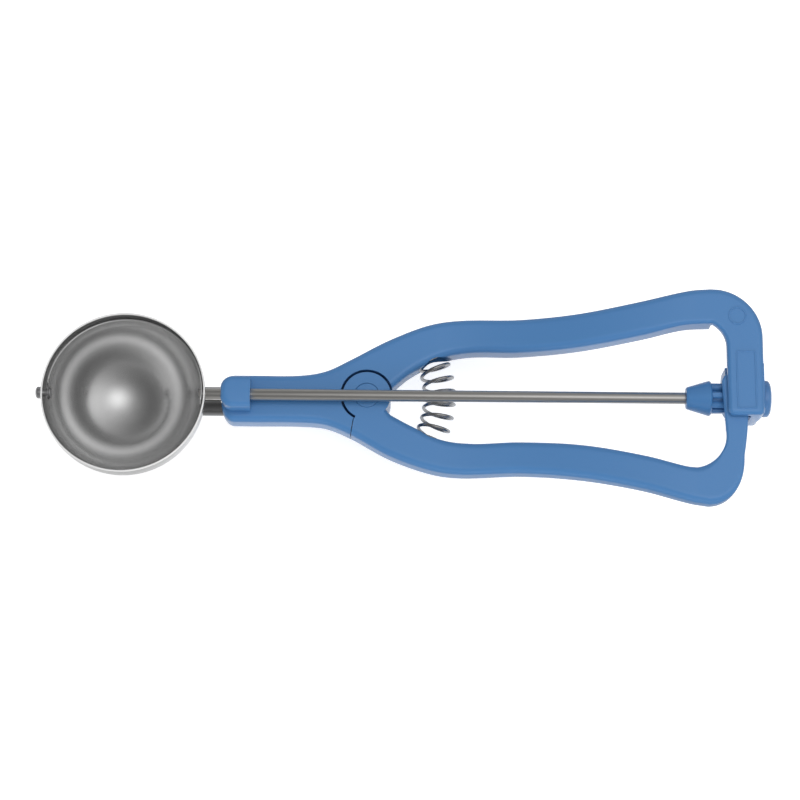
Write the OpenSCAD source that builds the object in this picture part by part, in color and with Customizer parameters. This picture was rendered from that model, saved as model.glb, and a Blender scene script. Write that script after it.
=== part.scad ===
// Lever ice cream scoop. A steel bowl sits on a stem in the neck of a squeeze handle.
// Squeezing the lever arm drives an arc rack across a pinion, whose rod turns a scraper
// blade through the bowl. A coil spring opens the handle again.
// X runs from the bowl to the handle's end, Y across the two arms, Z out of the bowl's mouth.
// Inside the modules the rod's axis is the X axis and the bowl's centre is the zero point.

/* [Bowl] */
// Outer diameter of the bowl
bowl_d = 56; // [48:1:60]
// Thickness of the bowl's sheet
bowl_wall = 0.6; // [0.4:0.1:1]
// Height of the straight lip above the rod's axis
bowl_lip = 2.6; // [1:0.2:4]

/* [Scraper] */
// Width of the scraper blade
blade_w = 5.5; // [4:0.5:7]
// Thickness of the scraper blade
blade_t = 0.5; // [0.3:0.1:0.8]
// Gap between the blade and the bowl at the deepest point
blade_gap = 0.7; // [0.5:0.05:0.9]
// How far the blade sits towards the rod
blade_shift = 0.4; // [0:0.05:0.4]
// Length of the blade's tail beyond the rod
blade_tail = 4.6; // [2:0.2:5]
// Angle of the resting blade from the bowl's deepest point
blade_rest = 83; // [70:1:85]

/* [Rod] */
// Diameter of the drive rod
rod_d = 4; // [3.4:0.2:4.6]
// Gap between the rod and the front of the neck
rod_gap = 0.8; // [0.4:0.1:1.6]
// Diameter of the rod's riveted end inside the bowl
rivet_d = 3.4; // [2.8:0.2:4]
// Radial running clearance of a shaft in its bore
run_gap = 0.05; // [0.02:0.01:0.1]
// Gap kept between faces that move past each other
slide_gap = 0.3; // [0.2:0.05:0.5]

/* [Tip rivet] */
// Diameter of the rivet's shank
tip_shank_d = 2; // [1.6:0.2:2.4]
// Diameter of the rivet's outer head
tip_head_d = 4.1; // [3.4:0.1:5]
// Height of the rivet's outer head
tip_head_h = 1.9; // [1:0.1:2.4]
// Thickness of the washer under the rivet's inner head
tip_washer_t = 0.4; // [0.3:0.1:0.6]

/* [Stem] */
// Outer diameter of the stem
stem_d = 10; // [8:0.5:10.5]
// Wall of the stem tube
stem_wall = 1.2; // [0.8:0.1:2]
// Length of the stem inside the neck
stem_grip = 26; // [18:1:32]
// Gap between the bowl and the neck
stem_show = 5.2; // [4:0.2:10]
// Diameter of the cross pin that holds the stem
stem_pin_d = 2.5; // [2:0.1:3]

/* [Neck] */
// Width of the neck
neck_w = 16.1; // [15.4:0.1:17]
// How much further the neck reaches on the lever's side of the rod
neck_low = 0.5; // [0:0.1:1]
// Thickness of the handle at the neck and the pivot
handle_t = 13.6; // [13.2:0.2:15]
// Length of the raised boss around the rod
boss_l = 10.2; // [8:0.2:14]
// Width of the raised boss
boss_w = 11; // [10:0.2:13]
// How far the boss's middle sits above the rod's axis
boss_y = 0.4; // [0:0.1:1]
// Height of the boss in front of the rod's axis
boss_h = 4; // [3.7:0.1:5]
// Outer diameter of the bush in the boss
bush_d = 5.8; // [5.4:0.1:6]
// Rounding of the handle's long front edges
edge_r = 2.4; // [2:0.2:3]
// Depth of the round back of the grip arms
grip_back = 7; // [5:0.5:8]
// Share of that depth by which the round back reaches in from each side
grip_share = 0.64; // [0.5:0.02:0.75]

/* [Pivot] */
// Distance from the neck's front end to the pivot
pivot_x = 49.8; // [48:0.2:52]
// Height of the pivot above the rod's axis
pivot_y = 0.9; // [0:0.1:1.6]
// Diameter of the hub discs
hub_d = 16.4; // [15.4:0.2:17]
// Width of the groove round the hub disc
hub_groove = 0.9; // [0.5:0.1:0.9]
// Diameter of the pivot pin
pivot_d = 6; // [5:0.2:7]
// Diameter of the pivot pin's head
pivot_head_d = 8.6; // [8:0.2:9.4]
// Wall of the bush in the lever's hub
pivot_bush_wall = 0.9; // [0.6:0.1:1.1]
// Thickness of the washer between the hub discs
pivot_washer_t = 0.4; // [0.3:0.1:0.6]

/* [Arms] */
// Half span of the handle at its waist
waist_y = 28.3; // [27:0.1:30]
// Half span of the handle at its rear corners
corner_y = 36.5; // [35.5:0.1:38]
// Width of the arms at the waist
waist_w = 11.7; // [10.5:0.1:12.5]
// Width of the arms at the rear corners
corner_w = 12.5; // [11.6:0.1:13]
// How far the lever's waist sits closer to the rod than the fixed arm's
waist_offset = 1.9; // [1:0.1:2.6]
// How far the lever's rear corner reaches beyond the fixed arm's
corner_offset = 1.7; // [0.5:0.1:2.2]

/* [Spring] */
// Mean diameter of the spring's coils
spring_d = 10.4; // [8:0.1:10.6]
// Thickness of the spring wire
wire_d = 1.2; // [0.9:0.1:1.3]
// Number of coils
coils = 8.25; // [6:0.25:9]
// Radius of the spring's bent axis
spring_bend_r = 33; // [30:0.5:40]
// Gap between the coils and their pockets
pocket_gap = 0.35; // [0.3:0.05:0.4]

/* [Rack and pinion] */
// Number of pinion teeth
teeth = 8; // [8:1:8]
// Pitch radius of the pinion
pitch_r = 4.5; // [4.3:0.05:4.7]
// Tip radius of the pinion
tip_r = 5.2; // [5:0.05:5.4]
// Tooth thickness of the pinion on its pitch circle
tooth_w = 2.1; // [1.9:0.05:2.3]
// Total play between rack and pinion teeth
backlash = 0.4; // [0.3:0.05:0.6]
// Distance from the pivot to the middle of the rack
rack_r = 125.3; // [124.8:0.1:125.8]
// Number of rack teeth
rack_teeth = 6; // [6:1:6]
// Thickness of the rack bar behind its teeth
rack_bar = 1.9; // [1.8:0.1:2.4]
// Length of the locking cone on the pinion sleeve
cone_l = 8.6; // [6:0.2:9]
// Small radius of the locking cone
cone_r = 3.8; // [3.2:0.1:4.4]
// Large radius of the locking cone
flange_r = 6.05; // [5.6:0.05:6.6]

/* [End housing] */
// Width of the end plate
plate_w = 12.4; // [11.8:0.2:13.4]
// Thickness of the end plate
plate_t = 2.6; // [2:0.1:3]
// Distance from the rod's axis to the plate's lower end
plate_drop = 8; // [7:0.2:9]
// Thickness of the end wall that carries the rod
end_wall = 4.5; // [4:0.1:5]
// Top of the pinion box above the rod's axis
box_top = 10; // [8.6:0.2:12]
// Back of the pinion box behind the rod's axis
box_back = 10; // [8:0.2:12]
// Radius of the end button
button_r = 6.3; // [5.4:0.1:7]
// Thickness of the end button
button_t = 3.1; // [2.4:0.1:4]

/* [Hidden] */
fine = 96;

// Levels in front of and behind the rod's axis
bowl_r = bowl_d / 2;
rod_r = rod_d / 2;
front_z = -rod_r - rod_gap;
back_z = front_z - handle_t;
mid_z = front_z - handle_t / 2;
lap_gap = pivot_washer_t + 0.2;
pocket_r = hub_d / 2 + hub_groove;

// Places along the rod
neck_x = bowl_r + stem_show;
hub_x = neck_x + pivot_x;
wall_in = hub_x + rack_r + 4.7;
end_x = wall_in + end_wall;
plate_x = end_x - plate_w;
spring_x = hub_x + 25;
flange_x = wall_in - 12.6;

// Gear sizes: the rack stands in front of the pinion, its teeth towards the rod
press_angle = 25;
root_r = pitch_r - 1;
base_r = pitch_r * cos(press_angle);
tooth_pitch = 2 * PI * pitch_r / teeth;
rack_tip = pitch_r - 0.75;
rack_root = tip_r + 0.25;
rack_w = tooth_pitch - tooth_w - backlash;
bar_front = rack_root + rack_bar;
plate_in = bar_front + slide_gap;
plate_z = plate_in + plate_t;
rack_top = 7;
rack_face = 8.2;
step_deg = tooth_pitch / rack_r * 180 / PI;

// The lever's full stroke turns the rod through the blade's whole sweep
blade_sweep = 170;
lever_stroke = blade_sweep * pitch_r / rack_r;
box_drop = tip_r + 0.4 + 1.2;
bar_out = rack_r + 4.1;
shoulder_y = pivot_y
    - (box_drop + pivot_y + slide_gap + bar_out * sin(lever_stroke)) / cos(lever_stroke);

// Depth of the two arms at the rear, where they rise to the rod's level
fixed_rear = [plate_z - 13.5, plate_z];
lever_rear = [bar_front - 11.5, bar_front];

// Corner bends: centres and radii of the outer and inner curves of the fixed arm,
// and of the inner curve of the lever
bend_x = end_x - 17;
bend_out = 17;
bend_in = 9.2;
bend_in_x = plate_x - bend_in;
rise_from = spring_x - 0.6;
rise_to = bend_in_x;
bend_in_y = corner_y - 20.6;
lever_in_x = hub_x + rack_r - 4.5;
lever_in_y = corner_y - corner_w + corner_offset - 0.3;

// Shared functions ----------------------------------------------------------------

function mix(a, b, t) = a + (b - a) * t;
function clamp01(t) = min(1, max(0, t));
function smooth(s) = let (t = clamp01(s)) t * t * (3 - 2 * t);
function rise(x) = smooth((x - rise_from) / (rise_to - rise_from));

// Smooth curve y(x) through points, with tangents from the neighbours on each side
function slope(p, i) =
    let (a = max(0, i - 1), b = min(len(p) - 1, i + 1))
    (p[b][1] - p[a][1]) / (p[b][0] - p[a][0]);
function span(p, x, i = 0) = (i >= len(p) - 2 || x <= p[i + 1][0]) ? i : span(p, x, i + 1);
function curve(p, x) =
    let (
        i = span(p, x),
        w = p[i + 1][0] - p[i][0],
        t = clamp01((x - p[i][0]) / w),
        a = p[i][1],
        b = p[i + 1][1]
    )
    a + (b - a) * smooth(t)
    + w * t * (1 - t) * (slope(p, i) * (1 - t) - slope(p, i + 1) * t);

// Outlines of the handle seen from the front, as y over x from the pivot
waist_low = waist_y - waist_offset;
corner_low = corner_y + corner_offset;
upper_out = [
    [-38, neck_w / 2], [-23, neck_w / 2 + 0.15], [-14, neck_w / 2 + 1.8],
    [-5.5, neck_w / 2 + 6], [7.5, waist_y - 7.2], [21.5, waist_y - 1.6],
    [33, waist_y], [53, waist_y - 0.4], [73, mix(waist_y, corner_y, 0.09)],
    [93, mix(waist_y, corner_y, 0.48)], [110, mix(waist_y, corner_y, 0.92)],
    [bend_x - hub_x, corner_y]
];
upper_in = [
    [8.3, pivot_y + 2.5], [14.8, waist_y - waist_w - 7.6], [25.2, waist_y - waist_w - 2],
    [36, waist_y - waist_w], [52, waist_y - waist_w - 0.5], [73, waist_y - waist_w + 0.5],
    [94, mix(waist_y - waist_w, corner_y - corner_w, 0.5)],
    [108, mix(waist_y - waist_w, corner_y - corner_w, 0.92)],
    [118, corner_y - corner_w]
];
lower_out = [
    [-38, neck_w / 2 + neck_low], [-23, neck_w / 2 + neck_low],
    [-14, neck_w / 2 + 0.8 + neck_low], [-5.5, neck_w / 2 + 4.2 + neck_low],
    [7.5, waist_low - 6.5], [21.5, waist_low - 1.5],
    [32, waist_low], [53, waist_low - 0.1], [73, mix(waist_low, corner_low, 0.17)],
    [93, mix(waist_low, corner_low, 0.52)], [110, mix(waist_low, corner_low, 0.93)],
    [bend_x - hub_x, corner_low]
];
lower_in = [
    [8.3, 5.7 - pivot_y / 9], [14.8, waist_low - waist_w - 5.6], [25.2, waist_low - waist_w - 0.7],
    [36, waist_low - waist_w + 0.8], [52, waist_low - waist_w + 0.6],
    [73, waist_low - waist_w + 2.2], [94, mix(waist_low - waist_w, lever_in_y, 0.6)],
    [108, mix(waist_low - waist_w, lever_in_y, 0.96)],
    [lever_in_x - 8.5 - hub_x, lever_in_y]
];
function up_out(x) = [hub_x + x, curve(upper_out, x)];
function up_in(x) = [hub_x + x, curve(upper_in, x)];
function low_out(x) = [hub_x + x, -curve(lower_out, x)];
function low_in(x) = [hub_x + x, -curve(lower_in, x)];

// Bend of the lever at its rear corner
lever_bend = 11;
lever_wide = 12.5;
lever_curl = 0.9;
lever_turn = 84;

// Loft of an arm. Each station holds its inner and outer points seen from the front, its
// back and front levels, the rounding at the inner and outer edge, and a share from 0,
// a full section, to 1, an angle section with a front layer and an outer wall. An eighth
// value is how far that wall is cut back at its outer face.
arc_steps = 4;
fillet = 1;
function oval(c, ry, rz, from) = [
    for (k = [0 : arc_steps])
        let (a = from + 90 * k / arc_steps)
        [c[0] + ry * cos(a), c[1] + rz * sin(a)]
];
function corner(c, r, from) = oval(c, r, r, from);
function notch_corner(c, r) = [
    for (k = [0 : arc_steps])
        let (a = 90 - 90 * k / arc_steps)
        [c[0] - r + r * cos(a), c[1] - r + r * sin(a)]
];
// Depth of the round back that a section has room for
function back_depth(w, zb, zf, r, k, wall) =
    min(grip_back, zf - zb - r - 0.05, mix(w / 2 - 0.3, wall - 0.4, k) / grip_share);
function section(w, zb, zf, ri, ro, k, wall) =
    let (
        bz = back_depth(w, zb, zf, max(ri, ro), k, wall),
        by = bz * grip_share,
        layer = mix(mix(zb + bz, zf - ri, 0.5), plate_in, k),
        full = oval([by, zb + bz], by, bz, 180),
        rib = max(w - wall, w / 3),
        notch = notch_corner([rib, layer], fillet)
    )
    concat(
        [[0, layer]],
        [for (j = [0 : arc_steps]) mix(full[j], notch[j], k)],
        [[mix(w / 2, rib, k), zb]],
        oval([w - by, zb + bz], by, bz, 270),
        corner([w - ro, zf - ro], ro, 0),
        corner([ri, zf - ri], ri, 90)
    );
function ring(s) =
    let (
        d = s[1] - s[0],
        w = norm(d),
        u = d / w,
        wall = end_wall - (len(s) > 7 ? s[7] : 0)
    )
    [for (q = section(w, s[2], s[3], s[4], s[5], s[6], wall))
        [s[0][0] + u[0] * q[0], s[0][1] + u[1] * q[0], q[1]]];

// Closed skin over a list of rings with the same number of points. Each end is a fan about
// the middle of the two ring points named in eye.
module skin(rings, eye = [3, 14]) {
    n = len(rings[0]);
    m = len(rings);
    ends = [for (r = [rings[0], rings[m - 1]]) (r[eye[0]] + r[eye[1]]) / 2];
    points = concat([for (r = rings) for (p = r) p], ends);
    sides = [
        for (i = [0 : m - 2]) for (j = [0 : n - 1]) for (half = [0, 1])
            let (a = i * n + j, b = i * n + (j + 1) % n, c = a + n, d = b + n)
            half == 0 ? [a, c, b] : [b, c, d]
    ];
    first = [for (j = [0 : n - 1]) [j, (j + 1) % n, m * n]];
    last = [for (j = [0 : n - 1]) [(m - 1) * n + (j + 1) % n, (m - 1) * n + j, m * n + 1]];
    polyhedron(points, concat(first, sides, last), convexity = 10);
}

// Everything is modelled on the rod's axis, then set with the bowl's lowest point on the
// ground and the whole scoop centred over the zero point
tip_x = -bowl_r - tip_head_h;
button_x = end_x + slide_gap + button_t;
module placed() {
    translate([-(tip_x + button_x) / 2, 0, bowl_r]) children();
}

// Cylinder along X from x0 to x1
module rod_cyl(r, x0, x1, y = 0, z = 0) {
    translate([x0, y, z]) rotate([0, 90, 0]) cylinder(r = r, h = x1 - x0, $fn = fine);
}

// Bowl ----------------------------------------------------------------------------

module bowl() color([0.72, 0.72, 0.73]) placed() {
    inner = bowl_r - bowl_wall;
    difference() {
        rotate_extrude($fn = fine) {
            difference() {
                union() {
                    intersection() {
                        circle(r = bowl_r, $fn = fine);
                        translate([0, -bowl_r]) square(bowl_r);
                    }
                    square([bowl_r, bowl_lip]);
                }
                circle(r = inner, $fn = fine);
                square([inner, bowl_lip + 1]);
            }
        }
        rod_cyl(rod_r + run_gap, inner / 2, bowl_r + 1);
        rod_cyl(tip_shank_d / 2, -bowl_r - 1, -inner / 2);
    }
}

// Stem tube, coped to the outside of the bowl
module stem() color([0.7, 0.7, 0.71]) placed() {
    difference() {
        rod_cyl(stem_d / 2, bowl_r / 2, neck_x + stem_grip, z = mid_z);
        rod_cyl(stem_d / 2 - stem_wall, 0, neck_x + stem_grip + 1, z = mid_z);
        sphere(r = bowl_r, $fn = fine);
        stem_pin_solid();
    }
}

// Cross pin from the back of the neck through the stem; the hole ends inside the neck
stem_pin_top = front_z - 2;
stem_pin_x = neck_x + 12;
module stem_pin_bore(from) {
    translate([stem_pin_x, 0, from])
        cylinder(d = stem_pin_d, h = stem_pin_top - from, $fn = fine);
}
module stem_pin_solid() {
    stem_pin_bore(back_z + 0.4);
}
module stem_pin() color([0.6, 0.6, 0.62]) placed() stem_pin_solid();

// Rivet that carries the blade's far end in the bowl wall
tip_in = bowl_r - bowl_wall - blade_gap - blade_t - blade_shift - 0.15;
module tip_rivet() color([0.66, 0.66, 0.67]) placed() {
    bevel = 0.5;
    rotate([0, -90, 0]) rotate_extrude($fn = fine) polygon([
        [0, tip_in - tip_washer_t - 0.6],
        [tip_head_d / 2 - 0.55, tip_in - tip_washer_t - 0.6],
        [tip_head_d / 2 - 0.25, tip_in - tip_washer_t - 0.3],
        [tip_head_d / 2 - 0.25, tip_in - tip_washer_t],
        [tip_shank_d / 2, tip_in - tip_washer_t],
        [tip_shank_d / 2, bowl_r],
        [tip_head_d / 2, bowl_r],
        [tip_head_d / 2, bowl_r + tip_head_h - bevel],
        [tip_head_d / 2 - bevel, bowl_r + tip_head_h],
        [0, bowl_r + tip_head_h]
    ]);
}
module tip_washer() color([0.62, 0.62, 0.64]) placed() {
    difference() {
        rod_cyl(tip_head_d / 2 + 0.25, -tip_in, -tip_in + tip_washer_t);
        rod_cyl(tip_shank_d / 2, -tip_in - 1, 0);
    }
}

// Scraper and rod -----------------------------------------------------------------

// The blade is a band of a thin sphere between two round eyelets on the rod's axis, with a
// rounded tail beyond the rod
blade_r = bowl_r - bowl_wall - blade_gap;
module scraper() color([0.74, 0.74, 0.75]) placed() {
    half = blade_w / 2;
    rotate([blade_rest, 0, 0]) translate([blade_shift, 0, 0]) difference() {
        intersection() {
            difference() {
                sphere(r = blade_r, $fn = fine);
                sphere(r = blade_r - blade_t, $fn = fine);
            }
            union() {
                translate([-bowl_r, -half, -bowl_r]) cube([2 * bowl_r, blade_w, bowl_r]);
                rod_cyl(half, -bowl_r, bowl_r);
                translate([0, -half, -1]) cube([bowl_r, blade_w, 1 + blade_tail - half]);
                rod_cyl(half, 0, bowl_r, z = blade_tail - half);
            }
        }
        rod_cyl(rod_r - 0.6, 0, bowl_r);
        rod_cyl(tip_shank_d / 2 + run_gap, -bowl_r, 0);
    }
}

// Steel rod with a stepped end, riveted over the blade's eyelet
rod_end = end_x + slide_gap + button_t * 0.6;
module rod() color([0.6, 0.59, 0.57]) placed() {
    shoulder = blade_r + blade_shift + 0.02;
    rivet_x = blade_r + blade_shift - blade_t;
    difference() {
        union() {
            rod_cyl(rod_r, shoulder, rod_end);
            rod_cyl(rod_r - 0.6, rivet_x - 0.5, shoulder);
            translate([rivet_x - 0.1, 0, 0]) rotate([0, -90, 0])
                cylinder(r1 = rivet_d / 2, r2 = rivet_d / 2 - 0.4, h = 0.7, $fn = fine);
        }
        sleeve_pin_solid();
    }
}

// Involute pinion outline
function inv_point(t) = base_r * [cos(t) + t * PI / 180 * sin(t), sin(t) - t * PI / 180 * cos(t)];
function turn(p, a) = [p[0] * cos(a) - p[1] * sin(a), p[0] * sin(a) + p[1] * cos(a)];
function roll_at(r) = sqrt(max(0, pow(r / base_r, 2) - 1)) * 180 / PI;
half_tooth = tooth_w / pitch_r * 90 / PI + tan(press_angle) * 180 / PI - press_angle;
flank_steps = 6;
function flank(side) = [
    for (i = [0 : flank_steps])
        let (p = inv_point(roll_at(mix(base_r, tip_r, i / flank_steps))))
        turn([p[0], side * p[1]], -side * half_tooth)
];
module pinion_outline() {
    left = flank(-1);
    right = flank(1);
    circle(r = root_r, $fn = fine);
    for (i = [0 : teeth - 1]) rotate(i * 360 / teeth)
        polygon(concat(
            [turn([root_r * 0.8, 0], half_tooth)],
            [for (k = [0 : flank_steps]) left[k]],
            [for (k = [flank_steps : -1 : 0]) right[k]],
            [turn([root_r * 0.8, 0], -half_tooth)]
        ));
}
gear_end = wall_in - 0.9 - 0.5;
module pinion_sleeve() color([0.22, 0.4, 0.68]) placed() {
    difference() {
        union() {
            translate([flange_x - cone_l, 0, 0]) rotate([0, 90, 0]) rotate_extrude($fn = fine)
                polygon([
                    [0, 0], [cone_r - 0.4, 0], [cone_r, 0.4], [flange_r - 0.1, cone_l - 1],
                    [flange_r, cone_l - 0.7], [flange_r - 0.5, cone_l], [0, cone_l]
                ]);
            translate([flange_x - 0.1, 0, 0]) rotate([0, 90, 0]) rotate([0, 0, 180])
                linear_extrude(gear_end - flange_x + 0.1) pinion_outline();
        }
        rod_cyl(rod_r, flange_x - cone_l - 1, gear_end + 1);
        sleeve_pin_solid();
    }
}

// Blind pin from the back of the cone into the rod
module sleeve_pin_solid() {
    translate([flange_x - cone_l / 2, 0, -cone_r - 0.6]) cylinder(d = 1.6, h = cone_r + 0.6, $fn = fine);
}
module sleeve_pin() color([0.6, 0.6, 0.62]) placed() {
    sleeve_pin_solid();
}
module thrust_washer() color([0.8, 0.8, 0.78]) placed() {
    difference() {
        rod_cyl(root_r, gear_end, gear_end + 0.5);
        rod_cyl(rod_r, gear_end - 1, gear_end + 1);
    }
}

// Domed button on the rod's end, outside the end wall
module end_button() color([0.26, 0.42, 0.66]) placed() {
    dome_r = 26;
    soft = 1;
    edge_z = button_t - soft - 0.7;
    face = end_x + slide_gap;
    difference() {
        translate([face, 0, 0]) rotate([0, 90, 0]) rotate_extrude($fn = fine) intersection() {
            union() {
                square([button_r - soft, button_t]);
                square([button_r, edge_z]);
                translate([button_r - soft, edge_z]) circle(r = soft, $fn = fine);
            }
            translate([0, button_t - dome_r]) circle(r = dome_r, $fn = fine);
        }
        rod_cyl(rod_r, face - 1, rod_end);
    }
}

// Bushes --------------------------------------------------------------------------

// Plain bush in the boss at the front of the neck
bush_l = boss_l - 2;
module rod_bush() color([0.85, 0.85, 0.82]) placed() {
    difference() {
        rod_cyl(bush_d / 2, neck_x + 0.3, neck_x + bush_l);
        rod_cyl(rod_r + run_gap, neck_x, neck_x + bush_l + 1);
    }
}

// Flanged bush in the end wall, which also takes the pinion's thrust
module end_bush() color([0.85, 0.85, 0.82]) placed() {
    difference() {
        union() {
            rod_cyl(bush_d / 2, wall_in, end_x);
            rod_cyl(root_r, wall_in - 0.7, wall_in);
        }
        rod_cyl(rod_r + run_gap, wall_in - 2, end_x + 1);
    }
}

// Pivot ---------------------------------------------------------------------------

head_t = 2;
clip_t = 0.6;
clip_sink = 1.3;
module pivot_cyl(r, z0, z1) {
    translate([hub_x, pivot_y, z0]) cylinder(r = r, h = z1 - z0, $fn = fine);
}
module pivot_pin() color([0.3, 0.48, 0.72]) placed() {
    pivot_cyl(pivot_d / 2, back_z + 0.4, front_z - head_t);
    pivot_cyl(pivot_head_d / 2, front_z - head_t, front_z);
}
module pivot_clip() color([0.6, 0.6, 0.62]) placed() {
    difference() {
        pivot_cyl(pivot_d / 2 + 1.7, back_z + clip_sink - clip_t, back_z + clip_sink);
        pivot_cyl(pivot_d / 2, back_z, mid_z);
    }
}
// Bush in the lever's hub, under the pin's head
bush_r = pivot_d / 2 + pivot_bush_wall;
recess_z = front_z - head_t - 0.1;
module pivot_bush() color([0.85, 0.85, 0.82]) placed() {
    difference() {
        pivot_cyl(bush_r, mid_z + lap_gap / 2, recess_z);
        pivot_cyl(pivot_d / 2 + run_gap, mid_z, front_z);
    }
}
module pivot_washer() color([0.85, 0.85, 0.82]) placed() {
    difference() {
        pivot_cyl(hub_d / 2 - 1, mid_z - lap_gap / 2, mid_z - lap_gap / 2 + pivot_washer_t);
        pivot_cyl(pivot_d / 2, back_z, front_z);
    }
}

// Handle --------------------------------------------------------------------------

// Stations of the fixed handle: round nose, neck, flare over the hub, upper arm, corner
// bend and end plate
nose_x = 4.4;
nose_y = 6.4;
nose_z = 1.1;
arm_from = 8.3;
arm_to = bend_in_x + bend_in * cos(60) - 0.5 - hub_x;
fixed_stations = concat(
    [for (a = [0 : 22.5 : 90])
        let (
            h = neck_w / 2 - nose_y * (1 - sin(a)),
            x = neck_x + nose_x * (1 - cos(a)),
            r = min(edge_r, h - 0.3)
        )
        [[x, -h - neck_low], [x, h], back_z + nose_z * (1 - sin(a)), front_z - nose_z * (1 - sin(a)),
         r, r, 0]],
    [for (x = [-36, -24, -19, -14, -10, -6, -2, 2])
        [low_out(x), up_out(x), back_z, front_z, edge_r, edge_r, 0]],
    [for (i = [0 : 22])
        let (t = i / 22, xi = mix(arm_from, arm_to, t), xo = xi - 5 * pow(1 - t, 4), k = rise(hub_x + xi))
        [up_in(xi), up_out(xo), mix(back_z, fixed_rear[0], k), mix(front_z, fixed_rear[1], k),
         mix(edge_r, plate_t / 2, smooth((t - 0.7) / 0.3)), edge_r, 0]],
    [[[bend_in_x + bend_in * cos(60) - 0.4, corner_y - corner_w],
      [bend_x + bend_out * cos(83), corner_y - bend_out + bend_out * sin(83)],
      fixed_rear[0], fixed_rear[1], plate_t / 2, edge_r, 0]],
    [for (i = [0 : 8])
        let (
            t = i / 8,
            ai = mix(60, 0, t),
            ao = mix(82, 0, t)
        )
        [[bend_in_x + bend_in * cos(ai), bend_in_y + bend_in * sin(ai)],
         [bend_x + bend_out * cos(ao), corner_y - bend_out + bend_out * sin(ao)],
         fixed_rear[0], fixed_rear[1], plate_t / 2, mix(edge_r, 2, t), 1]],
    [[[plate_x, box_top], [end_x, box_top], fixed_rear[0], fixed_rear[1], plate_t / 2, 2, 1]],
    [for (a = [0 : 22.5 : 90])
        let (c = 2 * (1 - cos(a)), y = -plate_drop + 2 * (1 - sin(a)))
        [[plate_x + c, y], [end_x - c, y], fixed_rear[0], fixed_rear[1] - c / 2,
         plate_t / 2 - c / 4, 2 - c / 4, 1, c]]
);

// The region of the lever, seen from the front, cut away from the fixed handle
part_top = [-4.7, -7.7];
part_foot = [-6.5, -19];
module lever_region(gap) {
    translate([hub_x, 0]) polygon([
        part_foot + [gap, 0], part_top + [gap, 0], [0, pivot_y], [8.3, pivot_y + 2.9 - gap],
        [9.5, -2], [14, -28]
    ]);
}
module boss() {
    r = 2;
    translate([0, boss_y, 0])
        hull() for (x = [neck_x + 4.2, neck_x + boss_l - 0.1], y = [-1, 1]) {
        corner_r = x > neck_x + 5 ? 0.1 : 4.2;
        translate([x, y * (boss_w / 2 - corner_r), mid_z + 3]) {
            cylinder(r = corner_r, h = boss_h - r - mid_z - 3, $fn = 32);
            cylinder(r = max(0.1, corner_r - r * 0.3), h = boss_h - r * 0.3 - mid_z - 3, $fn = 32);
        }
        translate([x, y * (boss_w / 2 - max(r, corner_r)), boss_h - 0.1])
            cylinder(r = max(0.1, corner_r - r), h = 0.1, $fn = 32);
    }
}
// Box round the pinion, open in front for the rack and on the left for the gear
module pinion_box() {
    r = 5;
    soft = wall_in - plate_x - 1;
    end_soft = 3.6;
    depth = plate_z - 1 + box_back;
    intersection() {
        translate([plate_x, 0, 0]) rotate([90, 0, 90]) linear_extrude(plate_w) union() {
            translate([-plate_drop, -box_back + r]) square([box_top + plate_drop, depth - r]);
            translate([-plate_drop + r, -box_back]) square([box_top + plate_drop - 2 * r, r + 1]);
            translate([-plate_drop + r, -box_back + r]) circle(r = r, $fn = fine);
            translate([box_top - r, -box_back + r]) circle(r = r, $fn = fine);
        }
        translate([0, 0, -box_back]) linear_extrude(depth) union() {
            translate([plate_x + soft, -box_drop]) square([end_wall, box_top + box_drop]);
            translate([plate_x, -box_drop + soft]) square([soft + 0.1, box_top + box_drop - soft]);
            translate([plate_x + soft, -box_drop + soft]) circle(r = soft, $fn = fine);
            translate([wall_in, -plate_drop + end_soft])
                square([end_wall, box_top + plate_drop - end_soft]);
            translate([wall_in, -plate_drop]) square([end_wall - end_soft, end_soft + 1]);
            translate([end_x - end_soft, -plate_drop + end_soft]) intersection() {
                circle(r = end_soft, $fn = fine);
                translate([0, -end_soft]) square(end_soft);
            }
        }
    }
}
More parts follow.
